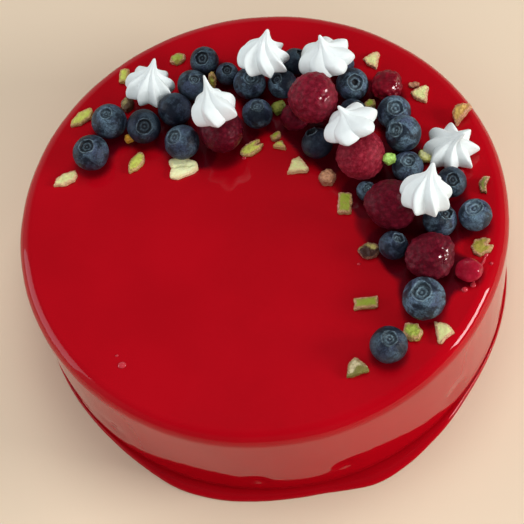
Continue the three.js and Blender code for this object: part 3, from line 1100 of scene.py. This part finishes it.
    def dust(self, co: Vector, spot: CrownSpot, look: BerryLook, seed: int) -> tuple[float, float, float]:
        """Works out how a point is coloured.

        Args:
            co: The point, before the skin is dented.
            spot: Where it is against the crown.
            look: The berry.
            seed: Sets its own rubbed places.

        Returns:
            How much bloom lies on it, how dark the dish is there, and how ashen the lines of the crown are.
        """
        flat, inside, ring, disc = spot.flat, spot.inside, look.ring, look.disc
        halo = fade(flat, ring + 0.32, ring + 0.04) * (1 - inside) * spot.upper
        pale = look.bloom * (1 - inside) * (1 + self.halo * halo) + disc * look.bloom * inside
        bloom = min(1.0, pale * (0.86 + 0.4 * wander(co, 1.3, seed + 0.3)))
        gap = hump(flat, ring * 0.76, 0.045) + hump(flat, ring * 0.26, 0.03)
        pit = look.hole * inside * fade(flat, ring * 0.40, ring * 0.32)
        core = min(1.0, inside * ((1 - disc) * 0.75 + 0.7 * gap) + pit)
        line = spot.on_rim * (0.55 + 0.45 * spot.lobe) + inside * disc * hump(flat, ring * 0.5, 0.05)
        line += inside * disc * 0.8 * fade(flat, ring * 0.16, ring * 0.06)
        line += inside * max(0.0, disc - 0.6) * 1.3 * (0.75 + 0.5 * wander(co, 4.0, seed))
        patchy = 0.75 + 0.5 * wander(spot.around, 2.0, seed)
        return bloom, core, min(0.9, (1 - pit) * line * (0.4 + 0.6 * look.bloom) * patchy)

    def shape(self, look: BerryLook, seed: int) -> Mesh:
        """Builds one berry as it lies, with a radius of 1.

        Args:
            look: The berry.
            seed: Sets its own dents and rubbed places.

        Returns:
            The berry, with the layers "bloom", "core" and "ash" for its finish; its bloom is thinned on the lower
            side as painted shade.
        """
        bm = spun(self.profile(look), self.steps)
        bloom, core, ash = marks(bm, "bloom", "core", "ash")
        for vert in bm.verts:
            spot = self.spot(vert.co, look, seed)
            co = self.drawn_out(vert.co, spot, look, seed)
            dent = self.uneven * wander(co, 1.1, seed) + self.dented * look.dents * wander(co, 3.0, seed + 0.5)
            vert.co = co * (1 + dent * (1 - 0.8 * spot.inside))
            vert[bloom], vert[core], vert[ash] = self.dust(co, spot, look, seed)
        Lean(look.heading, look.tilt, self.spin_each * seed).lay(bm)
        # painted shade: less bloom, so darker skin, on the lower side of each berry as it lies
        for vert in bm.verts:
            vert[bloom] *= 0.25 + 0.75 * fade(vert.co.z, -0.65, 0.35)
        return bm

    def build(self) -> None:
        """Builds every blueberry where its node lies."""
        material = self.finish.material()
        for seed, (node, look) in enumerate(zip(self.nodes(), self.looks), 1):
            stand_in(self.shape(look, seed), node, "fresh", material, "blueberry")


# ---------------------------------------------------------------- raspberries


@dataclass(frozen=True)
class RaspberryLook:
    """One raspberry: how it lies, its length and height over its width, its drupelets and how crushed it is.

    moist is where juice stands on it: heading and height of that side, in degrees, and how far it spreads.
    """

    ripeness: Ripeness
    heading: float
    tilt: float
    long: float = 1.0
    flat: float = 1.0
    drupelets: int = 84
    relief: float = 0.10
    crushed: float = 0.0
    fine: int = 7
    moist: tuple[float, float, float] = (0.0, 60.0, 0.0)


@dataclass
class Raspberries:
    """The raspberries: blunt cones of drupelets, the narrow end where they lean to.

    stray is how far the drupelets' middles are off their even places, slump and crush how far a berry and a
    crushed one lose their shape, and dimple how deep the hollow of the stalk is, all against the radius.
    """

    taper: float = 0.14
    golden_angle: float = math.pi * (3 - math.sqrt(5))
    stray: float = 0.16
    slump: float = 0.03
    crush: float = 0.09
    dimple: float = 0.2
    near: int = 6
    looks: tuple[RaspberryLook, ...] = (
        RaspberryLook(Ripeness.RIPE, -91, 80, 1.02, 1.0, 150, 0.045, 0.3, 7, (-50, 52, 0.34)),
        RaspberryLook(Ripeness.DARK, -80, 60, 1.0, 0.95, 140, 0.035, 0.2, 7, (-20, 10, 0.3)),
        RaspberryLook(Ripeness.WET, 40, 50, 1.0, 0.8, 80, 0.08, 1.0, 6, (-42, 50, 0.6)),
        RaspberryLook(Ripeness.VELVET, 30, 35, 1.0, 0.95, 150, 0.03, 0.15),
        RaspberryLook(Ripeness.DARK, 165, 60, 1.0, 0.92, 130, 0.04, 0.4, 7, (-46, 50, 0.38)),
        RaspberryLook(Ripeness.DARK, 20, 50, 1.0, 0.78, 110, 0.05, 1.2, 7, (-56, 58, 0.55)),
        RaspberryLook(Ripeness.GEL, -30, 30, 1.0, 0.62, 14, 0.05, 1.3, 6, (0, 80, 1.2)),
        RaspberryLook(Ripeness.DARK, -60, 70, 1.0, 0.92, 60, 0.05, 0.3, 6),
    )

    def nodes(self) -> list[str]:
        """Returns the names of the berries' nodes."""
        return [f"raspberry_{number}" for number in range(1, len(self.looks) + 1)]

    def centres(self, look: RaspberryLook, rng: random.Random) -> KDTree:
        """Spreads the drupelets' middles evenly over a ball.

        Args:
            look: The berry.
            rng: Draws how far each one strays.

        Returns:
            The middles, ready to be searched.
        """
        tree = KDTree(look.drupelets)
        stray = self.stray / math.sqrt(look.drupelets) * (1 + 2 * look.crushed)
        for k in range(look.drupelets):
            z = 1 - (2 * k + 1) / look.drupelets
            ring, angle = math.sqrt(1 - z * z), k * self.golden_angle
            middle = Vector((ring * math.cos(angle), ring * math.sin(angle), z))
            middle += Vector(rng.uniform(-stray, stray) * 2 for _ in range(3))
            tree.insert(middle.normalized(), k)
        tree.balance()
        return tree

    def moisten(self, bm: Mesh, layer: bmesh.types.BMLayerItem, look: RaspberryLook, seed: int) -> None:
        """Marks where juice stands on a berry.

        Args:
            bm: The berry, as it lies.
            layer: Takes how moist each point is.
            look: The berry.
            seed: Sets its own edge of the juice.
        """
        heading, height, spread = look.moist
        side = Lean(heading, 90 - height).matrix() @ Vector((0, 0, 1))
        for vert in bm.verts:
            away = vert.co.normalized().angle(side)
            vert[layer] = fade(away, 1.6 * spread, 0.5 * spread) * (0.7 + 0.7 * wander(vert.co, 5.0, seed))

    def shape(self, look: RaspberryLook, seed: int) -> Mesh:
        """Builds one berry as it lies, with a radius of about 1.

        Args:
            look: The berry.
            seed: Sets its own drupelets and slump.

        Returns:
            The berry, with layers for its finish: painted shade in the furrows, tone with painted light on each
                drupelet's dome, and moisture.
        """
        rng = random.Random(seed)
        tree = self.centres(look, rng)
        sizes = [rng.uniform(0.8, 1.15) for _ in range(look.drupelets)]
        hues = [rng.random() ** 2 for _ in range(look.drupelets)]
        spacing = math.sqrt(4 * math.pi / look.drupelets)
        bm = bmesh.new()
        bmesh.ops.create_icosphere(bm, subdivisions=look.fine, radius=1.0)
        gap, hue, moist = marks(bm, "gap", "hue", "moist")
        for vert in bm.verts:
            co = vert.co.copy()
            close = tree.find_n(co, self.near)
            dome = sum(sizes[j] * math.exp(-((away / (0.4 * spacing)) ** 2)) for _, j, away in close)
            bump = look.relief * (dome - 1)
            slump = (self.slump + self.crush * look.crushed) * wander(co, 1.3, seed)
            slump -= self.dimple * hump(math.hypot(co.x, co.y), 0, 0.3) * fade(co.z, -0.5, -0.9)
            co *= 1 + bump + slump
            narrow = 1 - self.taper * (co.z + 0.4)
            vert.co = Vector((co.x * narrow, co.y * narrow, co.z * look.long))
            # painted shade in the furrows between drupelets; each drupelet's tone, paler on its dome as painted
            # light
            vert[gap] = 0.3 * fade(dome, 0.75, 0.35)
            vert[hue] = hues[close[0][1]] * 0.45 * dome
        Lean(look.heading, look.tilt).lay(bm)
        bmesh.ops.scale(bm, vec=(1, 1, look.flat), verts=bm.verts)
        if look.moist[-1] > 0:
            self.moisten(bm, moist, look, seed)
        return bm

    def build(self) -> None:
        """Builds every raspberry where its node lies."""
        finishes = {kind: kind.value.material(f"raspberry_{kind.name.lower()}") for kind in Ripeness}
        for seed, (node, look) in enumerate(zip(self.nodes(), self.looks), 1):
            stand_in(self.shape(look, seed), node, "fresh", finishes[look.ripeness], "raspberry")


# ---------------------------------------------------------------- meringue kisses


@dataclass(frozen=True)
class KissLook:
    """One kiss: height over width, how it lies, and how its tip was drawn off.

    bend is how far the tip strays, against the radius, and bend_to its heading, in degrees. thin is how
    stout the upper part is, flute and soft are how deep the valleys between the lobes are and how round
    their ridges, twist is how far they turn on the way up, in degrees, and full goes from 0 for straight
    flanks to 1 for swollen ones.
    """

    tall: float
    heading: float
    tilt: float
    spin: float
    bend: float = 0.05
    bend_to: float = 0.0
    thin: float = 1.0
    lobes: int = 8
    flute: float = 0.36
    soft: float = 0.06
    twist: float = -30.0
    full: float = 0.0


@dataclass
class MeringueKisses:
    """The kisses, piped through a star nozzle: flutes that twist and draw up to a small tip.

    outline is half of a kiss's side view, with a radius and a height of 1. Girths are how far the lobes
    reach, and ripple how uneven the piped surface is.
    """

    steps: int = 240
    outline: Profile = (
        (0.0, 0.0), (0.5, 0.0), (0.80, 0.03), (0.95, 0.09), (1.0, 0.18), (0.985, 0.28), (0.92, 0.38),
        (0.79, 0.48), (0.61, 0.57), (0.43, 0.65), (0.30, 0.72), (0.215, 0.79), (0.155, 0.86),
        (0.11, 0.93), (0.06, 0.985), (0.0, 1.0),
    )
    girths: Span = (0.88, 1.0)
    ripple: float = 0.012
    finish: DryMeringue = DryMeringue()
    looks: tuple[KissLook, ...] = (
        KissLook(16.5 / 21.5, 40, 19, 0, 0.16, 46, 0.7, 9, 0.31, 0.015, -14),
        KissLook(16.3 / 22.4, 56, 24, 0, 0.08, 10, 0.8, 8, 0.33, 0.02, -52),
        KissLook(17.8 / 20, 100, 25, -8, 0.25, 93, 0.6, 6, 0.30, 0.02, -44, 0.3),
        KissLook(12.6 / 22, 100, 14, -2, 0.12, 110, 0.6, 7, 0.25, 0.02, -36, 0.4),
        KissLook(11.8 / 22, 124, 27, 12, 0.1, 160, 0.6, 6, 0.23, 0.02, -28, 0.5),
        KissLook(15.0 / 22.4, -20, 8, 12, 0.3, -16, 0.8, 8, 0.33, 0.015, -14),
        KissLook(17.6 / 20.6, 52, 26, 5, 0.06, 60, 0.9, 8, 0.31, 0.02, -32),
    )

    def star(self, away: float, look: KissLook, depth: float, soft: float) -> float:
        """Returns how far a kiss reaches between a ridge and a valley, against its reach on the ridge.

        Args:
            away: 0 on the ridge, 1 in the valley.
            look: The kiss.
            depth: The valley's depth.
            soft: How round the ridge is.

        Returns:
            The share of the reach.
        """
        half = math.pi / look.lobes
        bend, most = (math.hypot(math.sin(a), soft) - soft for a in (away * half, half))
        straight = 1 / (math.cos(away * half) + (1 / (1 - depth) - math.cos(half)) * bend / most)
        return straight + look.full * (1 - depth * away**2.2 - straight)

    def flute(self, angle: float, z: float, look: KissLook, girths: Sequence[float]) -> float:
        """Works out how far a kiss reaches at an angle and a height, against its outline.

        Args:
            angle: The angle, in radians, before the kiss is twisted.
            z: The height, from 0 to 1.
            look: The kiss.
            girths: How far each of its lobes reaches.

        Returns:
            The share of the outline's radius.
        """
        part = angle / math.tau * look.lobes
        lobe = round(part)
        away = 2 * abs(part - lobe)
        depth = (look.flute + 0.05 * z) * (1 - 0.75 * fade(z, 0.6, 0.85))
        share = self.star(away, look, depth, look.soft + 0.1 * z)
        share *= 1 - (1 - girths[lobe % look.lobes]) * (1 - away) * fade(z, 0.85, 0.3)
        return share * (1 + (look.thin - 1) * fade(z, 0.42, 0.72))

    def shape(self, look: KissLook, seed: int) -> Mesh:
        """Builds one kiss as it lies, with a radius of 1.

        Args:
            look: The kiss.
            seed: Sets its own unevenness.

        Returns:
            The kiss.
        """
        bm = spun(smooth_line(self.outline, 5), self.steps)
        rng = random.Random(seed)
        girths = [rng.uniform(*self.girths) for _ in range(look.lobes)]
        side = math.radians(look.bend_to - look.heading - look.spin)
        for vert in bm.verts:
            z, angle = vert.co.z, math.atan2(vert.co.y, vert.co.x)
            reach = math.hypot(vert.co.x, vert.co.y) * self.flute(angle, z, look, girths)
            turn = angle + math.radians(look.twist) * z * (1 + 0.35 * z)
            place = Vector((reach * math.cos(turn), reach * math.sin(turn), z * 2 * look.tall))
            place *= 1 + self.ripple * wander(place, 1.4, seed)
            drift = look.bend * fade(z, 0.5, 1.2) * 1.28
            vert.co = place + Vector((drift * math.cos(side), drift * math.sin(side), 0))
        Lean(look.heading, look.tilt, look.spin).lay(bm)
        return bm

    def build(self) -> None:
        """Builds every kiss where its node lies."""
        material = self.finish.material()
        for number, look in enumerate(self.looks, 1):
            stand_in(self.shape(look, number), f"meringue_{number}", "piped", material, "meringue")


# ---------------------------------------------------------------- pistachios


class Cut(Enum):
    """Outlines of the cut pieces, one unit long and wide."""

    HALF = ((-0.5, 0.05), (-0.3, -0.42), (0.15, -0.5), (0.5, -0.12), (0.4, 0.34), (-0.1, 0.5))
    WEDGE = ((-0.5, -0.36), (0.42, -0.5), (0.5, -0.3), (0.12, 0.5), (-0.2, 0.3))
    BLOCK = ((-0.5, -0.4), (0.46, -0.5), (0.5, 0.42), (-0.44, 0.5))
    SPLIT = (
        (-0.5, -0.40), (-0.28, -0.5), (0.2, -0.40), (0.48, -0.20), (0.5, 0.12),
        (0.2, 0.34), (-0.3, 0.5), (-0.5, 0.38), (-0.40, 0.0),
    )
    CRESCENT = ((-0.5, -0.42), (0.0, -0.2), (0.5, -0.5), (0.46, 0.2), (0.05, 0.5), (-0.4, 0.25))
    LEAF = ((-0.5, -0.34), (-0.12, -0.5), (0.34, -0.34), (0.5, 0.06), (0.44, 0.5), (-0.02, 0.46), (-0.32, 0.14))
    NOTCH = (
        (-0.5, -0.2), (-0.24, -0.5), (0.26, -0.48), (0.5, -0.2), (0.2, -0.02),
        (0.46, 0.16), (0.34, 0.44), (-0.2, 0.5), (-0.5, 0.22),
    )
    LUMP = ((-0.5, -0.1), (-0.2, -0.5), (0.35, -0.4), (0.5, 0.1), (0.1, 0.5), (-0.35, 0.4))


@dataclass(frozen=True)
class Chip:
    """A chopped pistachio piece: its cut, length, width and thickness in mm, how it lies, its colours and place.

    skin is how much of its skin is left on its edges, groove how deep the furrow along it is, and peel up
    to where across it, from -1 to 1, it shows its outer side.
    """

    cut: Cut
    size: tuple[float, float, float]
    heading: float
    tilt: float
    kernel: Kernel
    skin: float = 0.5
    at: tuple[float, float] = (0.0, 0.0)
    groove: float = 0.0
    peel: float = -2.0


@dataclass
class Pistachios:
    """Chopped pistachios: those set in the glaze are one piece, those caught among the fruit one each.

    A piece sinks into the glaze, its corners are uneven by a share of its size, its thickness is so many
    bevels and its length so many edges. Its back is domed, its groove is cut and it is rough by shares of
    its thickness, and where the skin faces differs by turn_each degrees from piece to piece.
    """

    glaze_level: float = CAKE_HEIGHT
    sink: float = 0.5
    uneven: float = 0.03
    bevels: int = 5
    edges: int = 22
    domed: float = 0.22
    furrow: float = 0.5
    rough: float = 0.16
    turn_each: float = 137.0
    first_seed: int = 11
    finish: CutPistachio = CutPistachio()
    caught: tuple[Chip, ...] = (
        Chip(Cut.HALF, (8, 3.6, 2.4), 80, 72, Kernel.LIME, 0.9),
        Chip(Cut.HALF, (6.8, 5.8, 4), 10, 10, Kernel.OLIVE, 0.0),
        Chip(Cut.LUMP, (5.4, 4.2, 3.2), 20, 0, Kernel.GREEN, 0.7),
        Chip(Cut.LUMP, (5.4, 4.8, 3.4), 0, 10, Kernel.BRIGHT, 0.0),
        Chip(Cut.LUMP, (8, 6.2, 3.8), 12, 8, Kernel.SUNNY, 0.0),
    )
    on_glaze: tuple[Chip, ...] = (
        Chip(Cut.LEAF, (10.8, 6.0, 2.2), 0, 4, Kernel.PALE, 0.7, (-76, 33.5), 0.4),
        Chip(Cut.LEAF, (11.2, 6.0, 2.2), 11, 6, Kernel.LIME, 0.6, (-65.4, 62)),
        Chip(Cut.BLOCK, (6.6, 4.4, 3), 75, 8, Kernel.LIME, 0.5, (-44.5, 78.5)),
        Chip(Cut.LUMP, (6.8, 5.4, 4.2), 70, 0, Kernel.DARK, 0.2, (-45.2, 63.2), 0.0, 0.1),
        Chip(Cut.LUMP, (4.2, 3.6, 3), 0, 0, Kernel.AMBER, 0.2, (-47.0, 46.6)),
        Chip(Cut.LEAF, (9.8, 6.4, 2.2), 25, 5, Kernel.LIME, 0.8, (-46, 34)),
        Chip(Cut.SPLIT, (12.2, 10.2, 2.2), -4, 2, Kernel.CREAM, 0.3, (-26.9, 27.0), 1.0),
        Chip(Cut.LUMP, (7.2, 5.4, 2.4), 10, 4, Kernel.GREEN, 0.9, (-20.5, 81.6), 0.0, -0.7),
        Chip(Cut.NOTCH, (10.2, 5.6, 2.4), 20, 5, Kernel.LIME, 0.9, (2.5, 28.8)),
        Chip(Cut.LUMP, (5, 3.4, 2.8), 30, 0, Kernel.MOSS, 0.5, (13, 32)),
        Chip(Cut.WEDGE, (5.4, 3.6, 2.6), -20, 5, Kernel.LIME, 0.5, (14, 27.5)),
        Chip(Cut.WEDGE, (9.4, 8.2, 2.4), -6, 6, Kernel.PALE, 0.7, (19, 16.0)),
        Chip(Cut.LUMP, (7.0, 6.8, 4.4), 40, 0, Kernel.BROWN, 0.3, (29.5, 6.8)),
        Chip(Cut.BLOCK, (9.4, 6.2, 2.8), 78, 4, Kernel.MOSS, 1.0, (34, -6.3)),
        Chip(Cut.WEDGE, (8.0, 6.8, 2.4), 76, 5, Kernel.PALE, 0.7, (59.5, 59.0)),
        Chip(Cut.WEDGE, (8.2, 7.8, 2.4), 76, 6, Kernel.PALE, 0.7, (75.0, 37.2)),
        Chip(Cut.LUMP, (5, 2.6, 2.2), -8, 0, Kernel.BROWN, 0.5, (74, 42.5)),
        Chip(Cut.WEDGE, (10.5, 5.8, 4.0), 38, 24, Kernel.GOLD, 0.8, (89, 23.5)),
        Chip(Cut.CRESCENT, (7.4, 4, 2.6), 68, 10, Kernel.OLIVE, 1.0, (89.5, -11.5)),
        Chip(Cut.NOTCH, (8.4, 7.0, 2.4), 8, 4, Kernel.KHAKI, 0.9, (81.8, -38.4)),
        Chip(Cut.HALF, (8.8, 6.6, 3.6), -12, 6, Kernel.HUSK, 0.5, (38.72, -29.82), 0.0, 0.05),
        Chip(Cut.BLOCK, (9.8, 5.2, 2.6), -6, 3, Kernel.MOSS, 1.0, (32.5, -51.8)),
        Chip(Cut.HALF, (8.6, 7.0, 3.0), -58, 8, Kernel.GREEN, 1.0, (47, -68)),
        Chip(Cut.WEDGE, (9.8, 7.4, 2.2), -90, 5, Kernel.PALE, 0.8, (58.6, -70.4)),
        Chip(Cut.WEDGE, (9.2, 7.4, 2.6), 8, 8, Kernel.TAN, 0.6, (22.8, -77.2), 0.0, -0.35),
    )

    def inset(self, chip: Chip, x: float, y: float) -> float:
        """Measures how far in from its outline a place on a piece is.

        Args:
            chip: The piece.
            x: The place along it, in mm.
            y: The place across it, in mm.

        Returns:
            The distance, in mm.
        """
        length, width, _ = chip.size
        place = Vector((x, y))
        ring = [Vector((u * length, v * width)) for u, v in chip.cut.value]
        gaps = []
        for start, end in zip(ring, ring[1:] + ring[:1]):
            near, share = intersect_point_line(place, start, end)
            gaps.append((place - (start if share < 0 else end if share > 1 else near)).length)
        return min(gaps)

    def shape(self, chip: Chip, seed: int) -> Mesh:
        """Builds one piece as it lies, in mm, with the middle of its underside at the origin.

        Args:
            chip: The piece.
            seed: Sets its own chips and cracks.

        Returns:
            The piece, with the layers "heart", "side", "rim" and "skin" for its finish.
        """
        length, width, thick = chip.size
        bm = bmesh.new()
        bm.faces.new([bm.verts.new((u * length, v * width, 0)) for u, v in chip.cut.value])
        bmesh.ops.subdivide_edges(bm, edges=bm.edges, cuts=1)
        rng = random.Random(seed)
        for vert in bm.verts:
            vert.co += Vector((rng.uniform(-1, 1) * length, rng.uniform(-1, 1) * width, 0)) * self.uneven
        upper = bmesh.ops.extrude_face_region(bm, geom=bm.faces[:])["geom"]
        lifted = [item for item in upper if isinstance(item, bmesh.types.BMVert)]
        bmesh.ops.translate(bm, vec=(0, 0, thick), verts=lifted)
        bmesh.ops.recalc_face_normals(bm, faces=bm.faces)
        bmesh.ops.bevel(
            bm,
            geom=bm.edges[:],
            offset=thick / self.bevels,
            affect="EDGES",
            segments=2,
            profile=0.5,
            material=-1,
            clamp_overlap=True,
        )
        bmesh.ops.remove_doubles(bm, verts=bm.verts, dist=1e-3)
        bmesh.ops.triangulate(bm, faces=bm.faces)
        for _ in range(3):
            long_edges = [edge for edge in bm.edges if edge.calc_length() > length / self.edges]
            bmesh.ops.subdivide_edges(bm, edges=long_edges, cuts=1)
            bmesh.ops.triangulate(bm, faces=bm.faces)
        self.carve(bm, chip, seed)
        Lean(chip.heading, -chip.tilt).lay(bm)
        bmesh.ops.recalc_face_normals(bm, faces=bm.faces)
        return bm

    def carve(self, bm: Mesh, chip: Chip, seed: int) -> None:
        """Rounds a piece's back, cuts its groove and roughens it, and marks where its colours lie: the side colour
        as painted shade on its edges and steep faces, and where it is peeled.

        Args:
            bm: The piece, lying flat.
            chip: What it is.
            seed: Sets its own roughness.
        """
        length, width, thick = chip.size
        heart, side = (bm.verts.layers.float_color.new(name) for name in ("heart", "side"))
        rim, skin = marks(bm, "rim", "skin")
        bm.normal_update()
        facing = math.radians(self.turn_each * seed)
        middle = Vector((0, 0, thick / 2))
        for vert in bm.verts:
            co, out = vert.co.copy(), vert.normal.copy()
            u, v, top = 2 * co.x / length, 2 * co.y / width, fade(co.z, 0.3 * thick, thick)
            border = self.inset(chip, co.x, co.y)
            dome = self.domed * (v * v + 0.35 * u * u)
            dome += self.furrow * chip.groove * hump(v + 0.05 * math.sin(3 * u), 0, 0.07) * fade(u, 0.9, 0.5)
            dome += self.rough * (1 - 0.8 * chip.groove) * wander(co, 0.7, seed + 0.2)
            co.z -= thick * top * dome
            chipped = 0.07 * wander(co, 0.55, seed) + 0.055 * wander(co, 1.5, seed + 0.5)
            co += (co - middle).normalized() * chipped * min(length, 3 * thick) * (0.6 - 0.4 * chip.groove)
            vert.co = co
            # heart colour paints light on the top; side colour paints shade on edges and steep faces, and shows
            # where peeled
            vert[heart], vert[side] = ((*colour, 1.0) for colour in chip.kernel.value)
            steep = fade(out.z, 0.6, 0.1)
            peeled = fade(v + 0.25 * math.sin(4 * u + seed), chip.peel + 0.1, chip.peel - 0.1)
            vert[rim] = max(0.7 * fade(border, 1.3, 0.5), 0.9 * steep, peeled)
            turned = 0.5 + 0.5 * math.cos(math.atan2(out.y, out.x) - facing)
            edging = fade(border, 1.05, 0.45) * fade(co.z, 0.35 * thick, 0.6 * thick) * (1 - peeled)
            bare = edging * (0.6 + 0.4 * turned) + 0.9 * steep * fade(turned, 0.3, 0.7)
            vert[skin] = chip.skin * min(1.0, bare)

    def build(self) -> None:
        """Builds the loose pieces where their nodes lie, and the ones set in the glaze as one piece."""
        material = self.finish.material()
        for number, chip in enumerate(self.caught, 1):
            stand_in(self.shape(chip, number), f"pistachio_{number}", "cut", material, "pistachio")
        joined = bmesh.new()
        part = bpy.data.meshes.new("chip")
        for seed, chip in enumerate(self.on_glaze, self.first_seed):
            bm = self.shape(chip, seed)
            low, _ = extent(bm)
            place = Vector((*chip.at, self.glaze_level - self.sink - low.z))
            bmesh.ops.translate(bm, vec=place, verts=bm.verts)
            to_metres(bm)
            bm.to_mesh(part)
            bm.free()
            joined.from_mesh(part)
            part.clear_geometry()
        bpy.data.meshes.remove(part)
        finished(joined, "pistachios_on_glaze", material, "pistachio", "glazed_cake")


# ---------------------------------------------------------------- studio


@dataclass(frozen=True)
class SoftLight:
    """A softbox: where it hangs and its height, in metres, its power in watts, its colour, its width over height.

    One that isn't mirrored lights the cake without showing in the glaze.
    """

    name: str
    place: tuple[float, float, float]
    side: float
    power: float
    colour: Colour = (1.0, 1.0, 1.0)
    wide: float = 1.0
    mirrored: bool = True

    def hang(self, aim: Vector) -> None:
        """Hangs the softbox.

        Args:
            aim: The place that it faces.
        """
        lamp = bpy.data.lights.new(self.name, "AREA")
        lamp.shape = "RECTANGLE"
        lamp.size, lamp.size_y = self.side * self.wide, self.side
        lamp.energy, lamp.color = self.power, self.colour
        held = bpy.data.objects.new(self.name, lamp)
        held.location = self.place
        held.rotation_euler = (aim - held.location).to_track_quat("-Z", "Y").to_euler()
        held.visible_glossy = self.mirrored
        bpy.context.scene.collection.objects.link(held)


@dataclass(frozen=True)
class Shading:
    """How the surroundings dim along an axis: its number, between which parts of it, and how bright they are."""

    axis: int
    span: Span
    bright: Span


@dataclass
class Studio:
    """A plain pale floor, soft light and the camera.

    The surroundings are pale near the horizon and dim overhead, on the near side and on the right.
    """

    floor_side: float = 8.0
    floor_colour: Colour = (0.74, 0.605, 0.45)
    floor_drift: Grain = Grain(0.004, span=(0.3, 0.7))
    floor_lift: float = 1.03
    camera_place: tuple[float, float, float] = (0.0, -0.2955, 0.5548)
    camera_aim: tuple[float, float, float] = (-0.0036, -0.0157, 0.04)
    camera_roll: float = -12.944
    lens: float = 98.77
    sensor: float = 36.0
    clip: Span = (0.05, 20.0)
    light_aim: tuple[float, float, float] = (0.0, 0.0, 0.05)
    sky_colour: Colour = (1.0, 0.99, 0.98)
    shadings: tuple[Shading, ...] = (
        Shading(2, (0.42, 0.74), (0.55, 0.10)),
        Shading(1, (0.2, -0.6), (1.0, 0.25)),
        Shading(0, (-0.1, 0.6), (1.0, 0.3)),
    )
    lights: tuple[SoftLight, ...] = (
        SoftLight("window", (0.95, -0.36, 0.44), 0.30, 8.1, (1.0, 0.99, 0.97), 1.35),
        SoftLight("left_wall", (-1.1, 0.25, 0.45), 0.8, 4.0, (0.88, 0.92, 1.0)),
        SoftLight("ceiling", (0.2, 0.3, 1.3), 0.8, 8.8, mirrored=False),
        SoftLight("near_fill", (-0.10, -0.98, 0.80), 0.9, 6.25, mirrored=False),
    )

    def lay_floor(self) -> None:
        """Lays the floor that the cake stands on."""
        g = Graph("pale_floor")
        paler = tuple(min(1.0, c * self.floor_lift) for c in self.floor_colour)
        colour = g.blend(g.pattern(self.floor_drift), self.floor_colour, paler)
        bm = bmesh.new()
        bmesh.ops.create_grid(bm, x_segments=1, y_segments=1, size=self.floor_side / 2)
        mesh = bpy.data.meshes.new("floor")
        bm.to_mesh(mesh)
        bm.free()
        mesh.materials.append(g.finish({"Base Color": colour, "Roughness": 0.9}))
        floor = bpy.data.objects.new("floor", mesh)
        bpy.context.scene.collection.objects.link(floor)

    def light_room(self) -> None:
        """Sets the soft surroundings and hangs the lights."""
        world = bpy.data.worlds.new("room")
        bpy.context.scene.world = world
        world.use_nodes = True
        sky = Wiring(world.node_tree, "BACKGROUND")
        way = sky.add("ShaderNodeTexCoord", {}, "Generated")
        axes = sky.add("ShaderNodeSeparateXYZ", {"Vector": way}).node.outputs
        glow: object = 1.0
        for shading in self.shadings:
            glow = sky.sum("MULTIPLY", glow, sky.remap(axes[shading.axis], shading.span, shading.bright))
        sky.fill(sky.shader, {"Strength": glow, "Color": (*self.sky_colour, 1.0)})
        for light in self.lights:
            light.hang(Vector(self.light_aim))

    def set_camera(self) -> None:
        """Sets the camera at the height and turn from which the cake is seen."""
        data = bpy.data.cameras.new("camera")
        data.lens, data.sensor_width = self.lens, self.sensor
        data.clip_start, data.clip_end = self.clip
        camera = bpy.data.objects.new("camera", data)
        camera.location = self.camera_place
        aim = (Vector(self.camera_aim) - camera.location).to_track_quat("-Z", "Y")
        roll = Quaternion((0, 0, 1), math.radians(self.camera_roll))
        camera.rotation_euler = (aim @ roll).to_euler()
        bpy.context.scene.collection.objects.link(camera)
        bpy.context.scene.camera = camera

    def build(self) -> None:
        """Sets up floor, light, colour and camera."""
        self.lay_floor()
        self.light_room()
        self.set_camera()
        bpy.context.scene.view_settings.view_transform = "Standard"


def main() -> None:
    """Builds the cake, its toppings and the studio."""
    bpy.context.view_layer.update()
    logging.basicConfig(level=logging.INFO, format="%(message)s")
    cake = (GlazedCake(), GlazeMarks(), Pistachios(), Blueberries(), Raspberries(), MeringueKisses())
    for part in (*cake, Studio()):
        part.build()
        log.info("made: %s", type(part).__name__)


if __name__ == "__main__":
    main()
